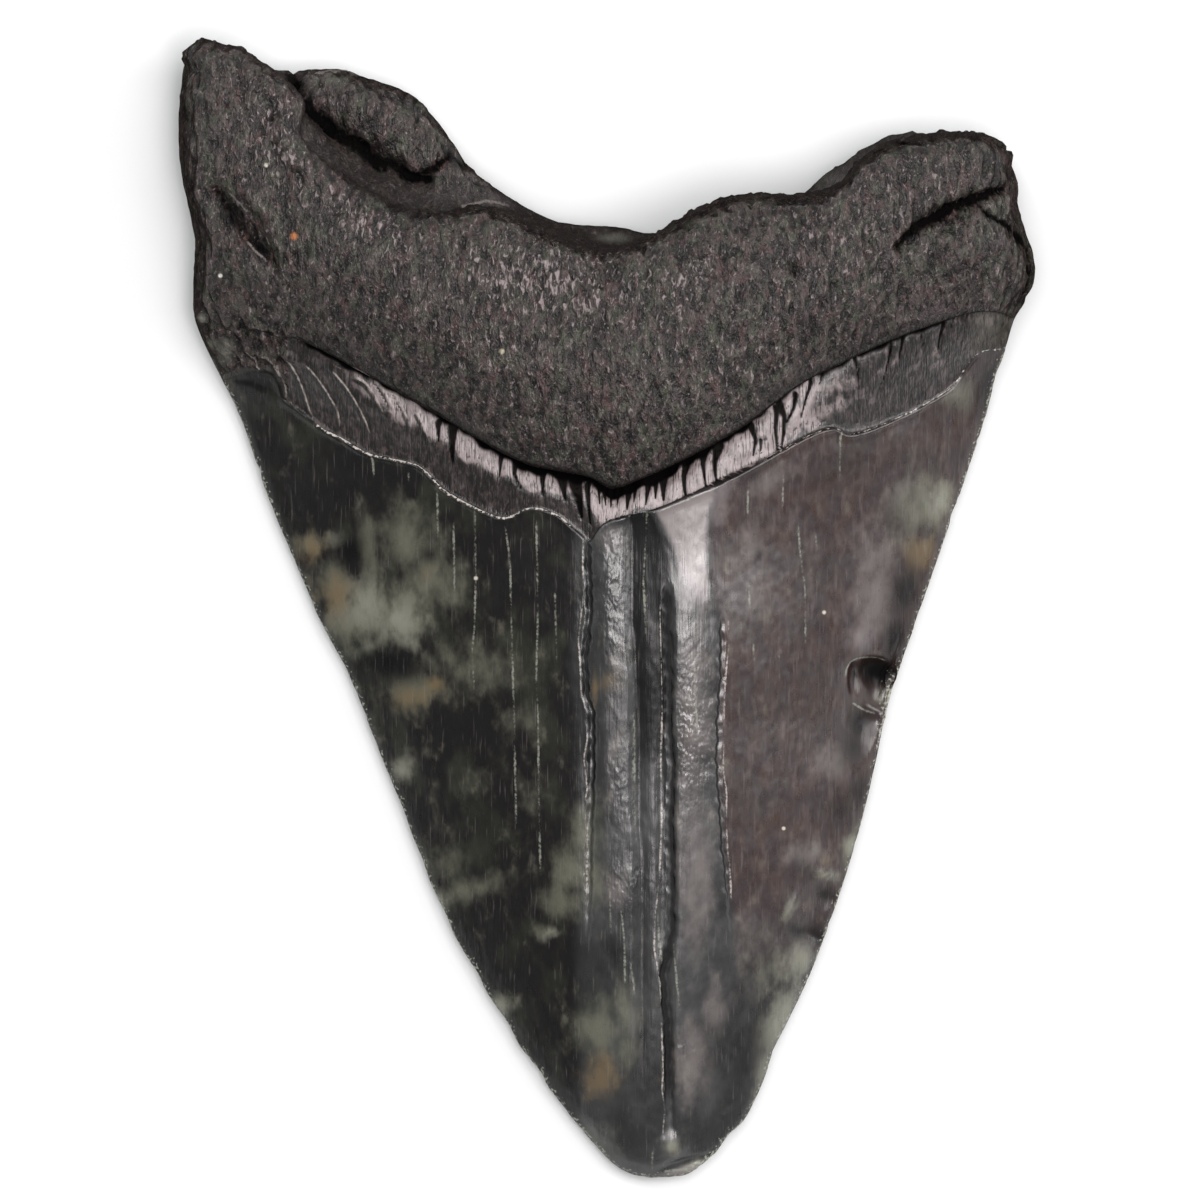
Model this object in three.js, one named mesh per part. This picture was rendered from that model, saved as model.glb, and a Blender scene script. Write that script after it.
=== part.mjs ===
// Fossil tooth of a giant shark, lying on its flatter outer face.
//
// Millimetres, +Z up. The root's two lobes point to +Y, the worn tip points to -Y, and the
// bulging inner face, which collectors call the display side, looks up.
// The tooth is one closed solid: an upper skin and a lower skin that meet along the outline.

import * as THREE from 'three';

// Driving dimensions
const CROWN_RIM_Z = 2.2;          // height of the cutting edge above the table
const ROOT_RIM_Z = 6.2;           // height of the root's widest line above the table
const ROOT_HALF_WIDTH = 46.5;     // half the width over the two lobes
const RIDGE_X = 4;                // the crown's highest line, a little right of the middle
const GROOVE_DEPTH = 1.6;         // drop from the root's lip to the dark band below it
const ENAMEL_STEP = 0.4;          // thickness of the enamel where it ends on the dark band
const LEDGE_Z = 9.6;              // height of the worn ledges behind the root's front edge

// How many cells the skins have
const COLUMNS = 60;
const ROOT_ROWS = 13;
const BAND_ROWS = 4;
const CROWN_ROWS = 25;

// Outline of the tooth seen from above, as four runs that share their end points
const ROOT_TOP = [
  [-45.9, 63.0], [-45.2, 63.5], [-43.3, 62.8], [-39.7, 61.9], [-37.3, 59.7], [-34.2, 59.7],
  [-29.7, 59.8], [-27.8, 59.4], [-25.3, 58.3], [-23.1, 57.8], [-20.8, 56.3], [-18.6, 53.8],
  [-15.3, 48.8], [-11.9, 46.2], [-7.5, 43.6], [-5.3, 42.8], [3.1, 42.0], [4.5, 41.4],
  [6.1, 42.1], [12.3, 45.4], [14.2, 46.1], [21.9, 45.9], [22.7, 46.6], [23.3, 47.7],
  [25.8, 49.2], [30.1, 52.1], [33.4, 53.0], [36.9, 52.6], [39.5, 53.1], [41.9, 52.8],
];
const LEFT_SIDE = [
  [-45.9, 63.0], [-47.2, 59.7], [-47.7, 52.4], [-47.4, 47.4], [-45.8, 41.2], [-46.2, 35.4],
  [-45.8, 31.7], [-44.9, 29.4], [-42.8, 25.2], [-40.8, 21.1], [-40.4, 20.1], [-37.5, 11.7],
  [-33.9, 3.2],
];
const RIGHT_SIDE = [
  [41.9, 52.8], [44.1, 50.3], [45.4, 48.3], [45.8, 46.6], [45.6, 44.8], [47.4, 39.2],
  [47.7, 37.4], [46.6, 33.9], [45.3, 32.1], [43.9, 27.4], [43.2, 25.9], [42.4, 22.4],
  [38.2, 9.7], [35.1, 0.8],
];
const CUTTING_EDGE = [
  [-33.9, 3.2], [-31.7, -2.0], [-28.6, -7.6], [-27.5, -10.6], [-23.2, -21.4], [-17.9, -34.8],
  [-12.9, -43.7], [-7.2, -52.6], [0.1, -61.4], [1.6, -62.7], [5.3, -63.5], [9.2, -63.0],
  [10.7, -61.8], [13.7, -59.2], [16.6, -54.8], [19.1, -48.1], [22.3, -41.4], [25.6, -32.6],
  [28.9, -21.4], [30.3, -14.6], [30.4, -12.4], [30.8, -11.8], [31.2, -10.3], [32.8, -5.9],
  [35.1, 0.8],
];

// Lower edge of the root on the display side: a wide chevron whose point is at the middle
const ROOT_LINE = [
  [-45.8, 31.7], [-40.8, 31.1], [-34.4, 29.7], [-26.9, 25.8], [-18.6, 21.1], [-11.9, 17.2],
  [-8.6, 15.7], [-1.9, 14.3], [0.5, 13.1], [3.6, 14.1], [8.1, 16.1], [14.7, 19.7],
  [21.4, 24.6], [25.8, 26.9], [33.1, 30.2], [41.9, 32.8], [45.3, 32.1],
];
// Upper edge of the enamel on the display side, with the dark band between the two lines
const ENAMEL_LINE = [
  [-42.8, 25.2], [-39.2, 24.7], [-35.6, 22.8], [-29.2, 18.6], [-25.3, 16.7], [-20.8, 15.6],
  [-18.1, 13.0], [-14.7, 11.1], [-11.4, 9.9], [-8.6, 11.0], [-5.8, 10.4], [-3.1, 8.2],
  [-1.9, 7.4], [-0.3, 9.3], [5.8, 11.0], [15.3, 15.4], [24.9, 19.9], [26.9, 19.2],
  [35.8, 22.4], [40.1, 26.3], [41.4, 28.0], [43.2, 25.9],
];
// Upper edge of the enamel on the lower side, a shallow arch nearer to the lobes
const BACK_ENAMEL_LINE = [
  [-42.8, 25.2], [-38.0, 25.6], [-28.0, 24.4], [-14.0, 21.8], [0.5, 20.6], [15.0, 22.2],
  [29.0, 25.2], [38.5, 26.6], [43.2, 25.9],
];
// Front edge of the root's upper end, where the display side breaks down to worn ledges
const FRONT_EDGE = [
  [-48.0, 62.6], [-42.8, 61.6], [-40.2, 60.8], [-38.4, 59.3], [-36.2, 57.8], [-34.4, 56.1],
  [-34.9, 53.6], [-34.6, 51.4], [-32.2, 49.0], [-29.7, 47.3], [-26.4, 45.4], [-23.1, 43.7],
  [-18.6, 43.2], [-14.2, 43.8], [-9.7, 42.3], [-5.3, 40.2], [-0.8, 38.7], [3.6, 39.7],
  [6.4, 41.2], [10.3, 43.4], [14.7, 44.8], [20.3, 44.8], [24.2, 45.4], [26.4, 46.6],
  [28.1, 48.6], [31.4, 50.9], [33.1, 51.4], [39.2, 51.9], [46.0, 50.6],
];

// Height of the display side along the middle of the tooth, as [y, z]
const SPINE = [
  [-64, 2.2], [-62.4, 3.6], [-60, 5.0], [-55, 7.0], [-45, 10.0], [-30, 13.6], [-10, 17.2],
  [7, 19.6], [13, 20.8], [20, 22.0], [28, 22.3], [38, 20.8], [46, 19.0], [55, 17.0], [64, 14.6],
];

// Long cracks of the crown that are open enough to feel: x at the top, x at the foot,
// y at both ends, depth and half width
const LONG_CRACKS = [
  { topX: -1.9, footX: -2.1, topY: 7.6, footY: -36, depth: 0.7, width: 0.75 },
  { topX: 5.8, footX: 7.0, topY: -0.5, footY: -59, depth: 0.65, width: 0.6 },
  { topX: 12.6, footX: 13.8, topY: -1.5, footY: -36, depth: 0.22, width: 0.5 },
];

// Hollows and bites: centre, half sizes along and across, turn in degrees, depth
const HOLLOWS = [
  { at: [-41.4, 43.4], half: [5.6, 1.9], turn: -46, depth: 1.7 },   // slanting dent, left lobe
  { at: [39.6, 43.6], half: [7.0, 0.9], turn: 28, depth: 1.5 },     // crevice, right lobe
  { at: [29.4, -8.3], half: [2.6, 2.4], turn: -35, depth: 1.7 },    // chip in the cutting edge
  { at: [28.2, -12.6], half: [2.6, 2.0], turn: 20, depth: 0.7 },    // flake below that chip
  { at: [22.6, -35.0], half: [2.6, 1.6], turn: 65, depth: 0.5 },    // worn nick further down
  { at: [22.0, 40.2], half: [2.6, 1.4], turn: 75, depth: 0.5 },     // pit beside the notch
  { at: [9.5, -62.3], half: [3.0, 0.9], turn: 22, depth: 0.9 },     // break across the tip
];

// Swellings: centre, half sizes, turn in degrees, height
const SWELLINGS = [
  { at: [41.2, 38.5], half: [5.0, 4.5], turn: 20, height: 1.4 },    // block under the crevice
  { at: [-0.4, -4.0], half: [1.7, 24], turn: 0, height: 0.35 },     // strip beside the first crack
  { at: [9.4, -8.0], half: [3.0, 30], turn: 0, height: 0.55 },      // crest beside the second
  { at: [-28.0, 37.0], half: [14, 6.0], turn: -20, height: 0.9 },   // left half of the root
  { at: [24.0, 36.5], half: [13, 6.0], turn: 18, height: 0.9 },     // right half of the root
];

// Places where the lower side touches the table, as centre and half sizes
const RESTS = [
  { at: [-30, 38], half: [13, 10] },
  { at: [30, 36], half: [13, 10] },
  { at: [3, -20], half: [13, 30] },
];

const clamp = THREE.MathUtils.clamp;
const lerp = THREE.MathUtils.lerp;
const smooth = (x, from, to) => THREE.MathUtils.smoothstep(x, from, to);
const bell = (x) => Math.exp(-x * x);

function curveThrough(points) {
  const corners = points.map(([x, y]) => new THREE.Vector3(x, y, 0));
  return new THREE.CatmullRomCurve3(corners, false, 'centripetal');
}

// Dense points of a curve, which stay in order along one axis, for looking up the other
function sampled(points, axis) {
  const list = curveThrough(points).getPoints(points.length * 12).map((p) => [p.x, p.y]);
  const key = axis === 'x' ? 0 : 1;
  const rising = list[list.length - 1][key] > list[0][key];
  return { key, list: rising ? list : list.reverse() };
}

function pointAt({ key, list }, value) {
  let low = 0;
  let high = list.length - 1;
  while (high - low > 1) {
    const middle = (low + high) >> 1;
    if (list[middle][key] > value) high = middle;
    else low = middle;
  }
  const [a, b] = [list[low], list[high]];
  const t = clamp((value - a[key]) / (b[key] - a[key] || 1), 0, 1);
  return [lerp(a[0], b[0], t), lerp(a[1], b[1], t)];
}

const top = sampled(ROOT_TOP, 'x');
const left = sampled(LEFT_SIDE, 'y');
const right = sampled(RIGHT_SIDE, 'y');
const edge = sampled(CUTTING_EDGE, 'x');
const rootLine = sampled(ROOT_LINE, 'x');
const enamelLine = sampled(ENAMEL_LINE, 'x');
const backEnamelLine = sampled(BACK_ENAMEL_LINE, 'x');

const leftReach = sampled([...LEFT_SIDE, ...CUTTING_EDGE.slice(1, 11)], 'y');
const rightReach = sampled([...RIGHT_SIDE, ...CUTTING_EDGE.slice(10, -1).reverse()], 'y');
const outline = [...top.list, ...[...right.list].reverse(), ...[...edge.list].reverse(), ...left.list];

function distanceTo(line, x, y) {
  let best = { distance: Infinity, above: false };
  for (let k = 1; k < line.length; k++) {
    const [ax, ay] = line[k - 1];
    const [dx, dy] = [line[k][0] - ax, line[k][1] - ay];
    const t = clamp(((x - ax) * dx + (y - ay) * dy) / (dx * dx + dy * dy || 1), 0, 1);
    const distance = Math.hypot(x - ax - t * dx, y - ay - t * dy);
    if (distance < best.distance) best = { distance, above: dx * (y - ay) - dy * (x - ax) > 0 };
  }
  return best;
}

const frontEdge = curveThrough(FRONT_EDGE).getPoints(120).map((p) => [p.x, p.y]);

// Signed distance beyond the root's front edge, positive on the ledges
function beyondFrontEdge(x, y) {
  const { distance, above } = distanceTo(frontEdge, x, y);
  return above ? distance : -distance;
}

// Height above the root's lower edge, with the chevron's point rounded off
function aboveRootLine(x, y) {
  const spread = [-7, -3.5, 0, 3.5, 7];
  const heights = spread.map((offset) => pointAt(rootLine, x + offset)[1]);
  return y - heights.reduce((sum, height) => sum + height, 0) / spread.length;
}

// 1 at the centre of an oval patch, easing to 0 at about its half sizes times 1.6
function patch({ at, half, turn = 0 }, x, y) {
  const angle = THREE.MathUtils.degToRad(turn);
  const [dx, dy] = [x - at[0], y - at[1]];
  const along = (dx * Math.cos(angle) + dy * Math.sin(angle)) / half[0];
  const across = (dy * Math.cos(angle) - dx * Math.sin(angle)) / half[1];
  return Math.exp(-((along * along + across * across) ** 1.5));
}

// Cubic through [position, value] pairs, with slopes from the neighbours
function through(pairs, position) {
  const last = pairs.length - 1;
  let k = 0;
  while (k < last - 1 && pairs[k + 1][0] < position) k++;
  const slope = (n) => {
    const [a, b] = [pairs[Math.max(n - 1, 0)], pairs[Math.min(n + 1, last)]];
    return (b[1] - a[1]) / (b[0] - a[0]);
  };
  const [a, b] = [pairs[k], pairs[k + 1]];
  const span = b[0] - a[0];
  const t = clamp((position - a[0]) / span, 0, 1);
  const ease = t * t * (3 - 2 * t);
  return lerp(a[1], b[1], ease) + span * t * (1 - t) * ((1 - t) * slope(k) - t * slope(k + 1));
}

// How far across the tooth a point lies: 0 on the ridge, 1 on the outline
function acrossFraction(x, y) {
  const shoulder = smooth(y, 27, 34);
  if (x < RIDGE_X) {
    const reach = lerp(pointAt(leftReach, y)[0], -ROOT_HALF_WIDTH, shoulder);
    return clamp((RIDGE_X - x) / (RIDGE_X - reach), 0, 1);
  }
  const reach = lerp(pointAt(rightReach, y)[0], ROOT_HALF_WIDTH, shoulder);
  return clamp((x - RIDGE_X) / (reach - RIDGE_X), 0, 1);
}

const rimHeight = (y) => lerp(CROWN_RIM_Z, ROOT_RIM_Z, smooth(y, 20, 36));

// The body without its root swelling: a rounded roof on the crown, a fuller one on the root
function bodyHeight(x, y) {
  const fullness = smooth(aboveRootLine(x, y), -9, 20);
  const across = acrossFraction(x, y);
  const crownRoof = 1 - across ** 1.75;
  const rootRoof = 1 - 0.36 * across ** 2.2;
  const rim = rimHeight(y);
  return rim + (through(SPINE, y) - rim) * lerp(crownRoof, rootRoof, fullness);
}

function upperHeight(x, y, onRoot, onEnamel) {
  const rim = rimHeight(y);
  const inside = distanceTo(outline, x, y).distance;
  const middle = bell(x / 34);
  let z = bodyHeight(x, y);

  // The root overhangs the dark band and swells away from it
  if (onRoot) {
    const above = Math.max(aboveRootLine(x, y), 0);
    z += GROOVE_DEPTH * lerp(0.25, 1, middle) + lerp(0.8, 3.0, middle) * (1 - Math.exp(-above / 5));
  }
  // The band is gently rounded, and the enamel begins with a small step
  const belowLip = pointAt(rootLine, x)[1] - y;
  if (!onRoot && !onEnamel) z += 0.5 * bell((belowLip - 2.6) / 2);
  if (onEnamel) z += ENAMEL_STEP;

  // Past the front edge the root breaks down to its ledges, lowest at the foot of the wall
  const beyond = beyondFrontEdge(x, y);
  if (onRoot && beyond > -1.5) {
    const wall = lerp(1.1, 3.0, smooth(-x, 14, 24)) + 1.0 * bell((x + 2) / 9);
    const ledge = LEDGE_Z + 2.2 * bell((x + 29) / 7) * smooth(beyond, 3, 8) - 1.0 * smooth(x, 10, 30);
    z = lerp(z, Math.min(z, ledge), smooth(beyond, -1.5, wall));
    z -= 1.1 * bell((beyond - wall) / 1.3) * smooth(-x, 14, 24);
  }

  for (const hollow of HOLLOWS) z -= hollow.depth * patch(hollow, x, y);
  for (const swelling of SWELLINGS) z += swelling.height * patch(swelling, x, y);
  if (onEnamel) {
    for (const crack of LONG_CRACKS) {
      const along = clamp((crack.topY - y) / (crack.topY - crack.footY), -0.2, 1.2);
      const offset = x - lerp(crack.topX, crack.footX, along);
      const fade = smooth(along, -0.1, 0.05) * (1 - smooth(along, 0.85, 1.08));
      z -= crack.depth * fade * bell(offset / crack.width);
    }
  }

  // Rounded sides: a quarter circle on the root, a narrow worn edge on the crown
  const radius = lerp(0.5, 3.4, smooth(y, 22, 36));
  const round = Math.sqrt(1 - (1 - clamp(inside / radius, 0, 1)) ** 2);
  return Math.max(rim + (z - rim) * round, rim + 0.02);
}

function lowerHeight(x, y) {
  const rim = rimHeight(y);
  const inside = distanceTo(outline, x, y).distance;
  const onRoot = smooth(y, 22, 36);
  const radius = lerp(9, 6, onRoot);
  const gap = 1 - clamp(inside / radius, 0, 1);
  const curl = lerp(gap * gap, 1 - Math.sqrt(1 - gap * gap), onRoot);

  // Between the resting places the side is hollowed a little, most where the root begins
  const aboveEnamel = y - pointAt(backEnamelLine, x)[1];
  let relief = 0.55 + 0.8 * bell((aboveEnamel - 3) / 4) + 1.6 * bell(x / 9) * smooth(y, 26, 42);
  for (const rest of RESTS) relief -= 1.5 * patch(rest, x, y);
  const z = rim * curl + Math.max(relief, 0) * (1 - gap);
  return clamp(z, 0, rim - 0.02);
}

// Column positions along the enamel line, crowded at the sides and at the two long cracks
function columnPositions() {
  const [from, to] = [ENAMEL_LINE[0][0], ENAMEL_LINE[ENAMEL_LINE.length - 1][0]];
  const crowding = (x) => {
    const sides = bell((x - from) / 3) + bell((x - to) / 3);
    const cracks = bell((x - LONG_CRACKS[0].topX) / 1.6) + bell((x - LONG_CRACKS[1].footX) / 2);
    return 1 + 1.6 * sides + 1.5 * cracks;
  };
  const steps = 2000;
  const total = [0];
  for (let k = 1; k <= steps; k++) total.push(total[k - 1] + crowding(lerp(from, to, k / steps)));
  const positions = [];
  for (let column = 0, k = 0; column <= COLUMNS; column++) {
    while (k < steps && total[k] < (total[steps] * column) / COLUMNS) k++;
    positions.push(lerp(from, to, k / steps));
  }
  positions[0] = from;
  positions[COLUMNS] = to;
  return positions;
}

// Moves a column's x outside the middle part, so that its ends land on the line's own ends
function stretched(x, line, still) {
  const [from, to] = [line.list[0][0], line.list[line.list.length - 1][0]];
  const [first, last] = [ENAMEL_LINE[0][0], ENAMEL_LINE[ENAMEL_LINE.length - 1][0]];
  if (x < -still) return lerp(from, -still, (x - first) / (-still - first));
  if (x > still) return lerp(still, to, (x - still) / (last - still));
  return x;
}

// Rows from the lobes to the tip: which stretch they lie in, and how far down that stretch.
// They crowd at the top edge, at the groove below the root, and at the cutting edge.
function rowStations() {
  const stations = [];
  for (let k = 0; k < ROOT_ROWS; k++) {
    stations.push({ stretch: 'root', down: 0.97 * (k / (ROOT_ROWS - 1)) ** 1.35 });
  }
  stations.push({ stretch: 'root', down: 0.992 });
  for (let k = 0; k <= BAND_ROWS; k++) {
    stations.push({ stretch: 'band', down: lerp(0.03, 0.97, k / BAND_ROWS) });
  }
  for (let k = 0; k <= CROWN_ROWS; k++) {
    const even = k / CROWN_ROWS;
    const towardsEdge = 1 - (1 - even) ** 1.25;
    stations.push({ stretch: 'crown', down: lerp(0.004, 1, lerp(even, towardsEdge, even)) });
  }
  return stations;
}

const positions = columnPositions();
const rows = rowStations();
const lastRow = rows.length - 1;

// Where a row meets the left or right side of the outline
function sidePoint(side, { stretch, down }) {
  const starts = { root: side.root, band: side.band, crown: side.crown, end: side.end };
  const ends = { root: side.band, band: side.crown, crown: side.end };
  return pointAt(side.curve, lerp(starts[stretch], ends[stretch], down));
}
const leftSide = { curve: left, root: 63.0, band: 31.7, crown: 25.2, end: 3.2 };
const rightSide = { curve: right, root: 52.8, band: 32.1, crown: 25.9, end: 0.8 };

// Place of a grid point seen from above, between the two lines of its stretch.
// On the outline it is the same point for both skins.
function gridPlace(column, row, lines) {
  const station = rows[row];
  const [above, below] = lines[station.stretch];
  const x = positions[column];
  const start = pointAt(above.line, stretched(x, above.line, above.still));
  const end = pointAt(below.line, stretched(x, below.line, below.still));
  const place = [lerp(start[0], end[0], station.down), lerp(start[1], end[1], station.down)];

  // The ends of the row are pulled onto the sides of the outline
  const u = column / COLUMNS;
  for (const [side, weight] of [[leftSide, (1 - u) ** 6], [rightSide, u ** 6]]) {
    const target = sidePoint(side, station);
    const first = side === leftSide ? 0 : COLUMNS;
    const x0 = positions[first];
    const s = pointAt(above.line, stretched(x0, above.line, above.still));
    const e = pointAt(below.line, stretched(x0, below.line, below.still));
    place[0] += weight * (target[0] - lerp(s[0], e[0], station.down));
    place[1] += weight * (target[1] - lerp(s[1], e[1], station.down));
  }
  return place;
}

const topLine = { line: top, still: 20 };
const edgeLine = { line: edge, still: 19 };
const frontRoot = { line: rootLine, still: 24 };
const frontEnamel = { line: enamelLine, still: 24 };
const backEnamel = { line: backEnamelLine, still: 24 };
const backRoot = { line: { key: 0, list: rootLine.list.map(([x, y]) => [x, y + 6 * bell(x / 22)]) },
  still: 24 };
const UPPER_LINES = { root: [topLine, frontRoot], band: [frontRoot, frontEnamel],
  crown: [frontEnamel, edgeLine] };
const LOWER_LINES = { root: [topLine, backRoot], band: [backRoot, backEnamel],
  crown: [backEnamel, edgeLine] };

const vertices = [];
const faces = [];
const names = new Map();

const onOutline = (column, row) => column === 0 || column === COLUMNS || row === 0 || row === lastRow;

// Number of the vertex at a grid point; the skins share the vertices of the outline
function vertex(column, row, upper) {
  const shared = onOutline(column, row);
  const name = `${column} ${row} ${shared || upper}`;
  if (!names.has(name)) {
    const [x, y] = gridPlace(column, row, upper || shared ? UPPER_LINES : LOWER_LINES);
    const { stretch } = rows[row];
    let z = rimHeight(y);
    if (!shared) z = upper ? upperHeight(x, y, stretch === 'root', stretch === 'crown') : lowerHeight(x, y);
    names.set(name, vertices.length);
    vertices.push([x, y, z]);
  }
  return names.get(name);
}

// Upper skin: two triangles for each cell, split along the shorter diagonal
function addUpperCell(column, row) {
  const [a, b, c, d] = [[0, 0], [0, 1], [1, 1], [1, 0]].map(([i, j]) => vertex(column + i, row + j, true));
  const gap = (p, q) => Math.hypot(...vertices[p].map((value, k) => value - vertices[q][k]));
  if (gap(a, c) < gap(b, d)) faces.push([a, b, c], [a, c, d]);
  else faces.push([a, b, d], [b, c, d]);
}

// Lower skin: cells twice as large, with the outline's in-between vertices kept
function addLowerCell(column, row) {
  const ring = [];
  const walk = [[0, 0], [1, 0], [2, 0], [2, 1], [2, 2], [1, 2], [0, 2], [0, 1]];
  for (const [i, j] of walk) {
    const isCorner = i !== 1 && j !== 1;
    if (isCorner || onOutline(column + i, row + j)) ring.push(vertex(column + i, row + j, false));
  }
  const [x, y] = gridPlace(column + 1, row + 1, LOWER_LINES);
  const middle = vertices.length;
  if (ring.length === 4) {
    faces.push([ring[0], ring[1], ring[2]], [ring[0], ring[2], ring[3]]);
    return;
  }
  vertices.push([x, y, lowerHeight(x, y)]);
  ring.forEach((first, k) => faces.push([first, ring[(k + 1) % ring.length], middle]));
}

for (let column = 0; column < COLUMNS; column++) {
  for (let row = 0; row < lastRow; row++) addUpperCell(column, row);
}
for (let column = 0; column < COLUMNS; column += 2) {
  for (let row = 0; row < lastRow; row += 2) addLowerCell(column, row);
}

// The origin is the middle of the box around the tooth, on the table
const box = new THREE.Box3().setFromPoints(vertices.map((v) => new THREE.Vector3(...v)));
const middle = box.getCenter(new THREE.Vector3());
const geometry = new THREE.BufferGeometry();
const placed = vertices.flatMap(([x, y, z]) => [x - middle.x, y - middle.y, z - box.min.z]);
geometry.setAttribute('position', new THREE.Float32BufferAttribute(placed, 3));
geometry.setIndex(faces.flat());
geometry.computeVertexNormals();

const fossil = new THREE.MeshStandardMaterial({ color: 0x3b3735, roughness: 0.42, metalness: 0 });
const tooth = new THREE.Mesh(geometry, fossil);
tooth.name = 'tooth';

const group = new THREE.Group();
group.add(tooth);

export default group;
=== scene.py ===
import math

import bpy
import bmesh
import numpy as np
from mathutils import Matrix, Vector, kdtree, noise


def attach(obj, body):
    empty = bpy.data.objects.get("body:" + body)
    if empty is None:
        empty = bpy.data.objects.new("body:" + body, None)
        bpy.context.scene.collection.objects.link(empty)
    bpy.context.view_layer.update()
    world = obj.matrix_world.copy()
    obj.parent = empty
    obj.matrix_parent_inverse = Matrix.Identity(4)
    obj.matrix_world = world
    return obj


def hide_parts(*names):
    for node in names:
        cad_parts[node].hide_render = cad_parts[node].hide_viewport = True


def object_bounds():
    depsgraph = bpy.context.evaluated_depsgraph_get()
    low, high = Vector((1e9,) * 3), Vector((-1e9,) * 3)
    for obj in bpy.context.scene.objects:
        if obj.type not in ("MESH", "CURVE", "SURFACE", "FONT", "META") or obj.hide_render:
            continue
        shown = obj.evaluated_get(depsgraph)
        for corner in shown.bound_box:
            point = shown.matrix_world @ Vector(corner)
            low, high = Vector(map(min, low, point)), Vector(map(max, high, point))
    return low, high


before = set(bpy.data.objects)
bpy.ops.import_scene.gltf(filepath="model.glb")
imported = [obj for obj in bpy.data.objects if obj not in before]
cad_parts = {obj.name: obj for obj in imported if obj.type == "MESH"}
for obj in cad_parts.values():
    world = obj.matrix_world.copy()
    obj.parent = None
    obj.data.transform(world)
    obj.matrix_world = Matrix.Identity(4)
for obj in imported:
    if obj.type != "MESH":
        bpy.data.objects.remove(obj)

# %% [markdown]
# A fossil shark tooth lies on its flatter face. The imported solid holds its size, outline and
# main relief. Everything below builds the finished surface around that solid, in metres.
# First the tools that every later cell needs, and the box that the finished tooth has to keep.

MM = 0.001
CAD_NODE = "tooth"

cad_low, cad_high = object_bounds()


def smooth(x, start, end):
    """0 before start, 1 after end, and an S-shaped rise between them."""
    t = np.clip((x - start) / (end - start), 0, 1)
    return t * t * (3 - 2 * t)


def bell(x):
    return np.exp(-x * x)


# %% [markdown]
# Two lines divide the display side of a real tooth: the lower lip of the root and the upper edge
# of the enamel, with the dark band between them. On the lower side the enamel reaches higher.
# The lines are the solid's own, in millimetres. They could be painted by hand on the mesh, but
# as lists of points they give every later cell a measured distance, which keeps edges crisp.

# %% Lines of the display side and the lower side
ROOT_LINE = [
    (-45.8, 31.7), (-40.8, 31.1), (-34.4, 29.7), (-26.9, 25.8), (-18.6, 21.1), (-11.9, 17.2),
    (-8.6, 15.7), (-1.9, 14.3), (0.5, 13.1), (3.6, 14.1), (8.1, 16.1), (14.7, 19.7), (21.4, 24.6),
    (25.8, 26.9), (33.1, 30.2), (41.9, 32.8), (45.3, 32.1),
]
ENAMEL_LINE = [
    (-42.8, 25.2), (-39.2, 26.3), (-37, 25.9), (-35.7, 23.2), (-33.4, 21.3), (-31.5, 19.8),
    (-29.4, 18.7), (-26.4, 17), (-24.1, 16.5), (-20.8, 15.6), (-18.1, 13), (-14.7, 11.1),
    (-11.4, 9.9), (-8.6, 11), (-5.8, 10.4), (-3.1, 8.2), (-1.9, 7.4), (-0.3, 9.3), (5.8, 11),
    (15.3, 15.4), (24.9, 19.9), (26.9, 19.2), (32.8, 21.3), (36, 23), (38.4, 24.6), (40, 27),
    (41.4, 28.3), (43.4, 28.6),
]
BACK_ENAMEL_LINE = [
    (-42.8, 25.2), (-38, 25.6), (-28, 24.4), (-14, 21.8), (0.5, 20.6), (15, 22.2), (29, 25.2),
    (38.5, 26.6), (43.2, 25.9),
]


def spline(points, per_span=8):
    """The same centripetal curve through the points that the solid uses."""
    p = np.array([points[0], *points, points[-1]], float)
    p[0] = 2 * p[1] - p[2]
    p[-1] = 2 * p[-2] - p[-3]
    out = []
    for a, b, c, d in zip(p[:-3], p[1:-2], p[2:-1], p[3:]):
        t1 = math.dist(a, b) ** 0.5
        t2 = t1 + math.dist(b, c) ** 0.5
        t3 = t2 + math.dist(c, d) ** 0.5
        for t in np.linspace(t1, t2, per_span, endpoint=False):
            ab = a + (b - a) * t / t1
            bc = b + (c - b) * (t - t1) / (t2 - t1)
            cd = c + (d - c) * (t - t2) / (t3 - t2)
            left = ab + (bc - ab) * t / t2
            right = bc + (cd - bc) * (t - t1) / (t3 - t1)
            out.append(left + (right - left) * (t - t1) / (t2 - t1))
    return np.array([*out, p[-2]])


def line_height(points, x):
    """y of a left-to-right line at each x."""
    curve = spline(points)
    return np.interp(x, curve[:, 0], curve[:, 1])


def along_line(points, x, y):
    """Distance from a line of points, the share of it passed there, and 1 on its upper side."""
    line = np.array(points, float)
    steps = np.linalg.norm(np.diff(line, axis=0), axis=1)
    passed = np.concatenate([[0], np.cumsum(steps)])
    best = np.full(x.shape, 1e9)
    share = np.zeros(x.shape)
    side = np.zeros(x.shape)
    for (ax, ay), (bx, by), start, step in zip(line[:-1], line[1:], passed, steps):
        t = np.clip(((x - ax) * (bx - ax) + (y - ay) * (by - ay)) / step ** 2, 0, 1)
        gap = np.hypot(x - ax - t * (bx - ax), y - ay - t * (by - ay))
        nearer = gap < best
        best = np.where(nearer, gap, best)
        share = np.where(nearer, (start + t * step) / passed[-1], share)
        side = np.where(nearer, np.sign((bx - ax) * (y - ay) - (by - ay) * (x - ax)), side)
    return best, share, side


# %% [markdown]
# The finished tooth starts as a copy of the solid, so it has the same size and lies in the same
# place. The solid is loose triangles, so the copy is merged first and its triangles are paired
# into quads, which subdivide evenly. The cutting edge is creased, because a real one stays
# keen where a subdivision surface would round it away.

# %% Copy of the solid, merged, paired into quads and creased along its outline
MERGE = 0.002 * MM
KEENNESS = 0.9

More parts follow.
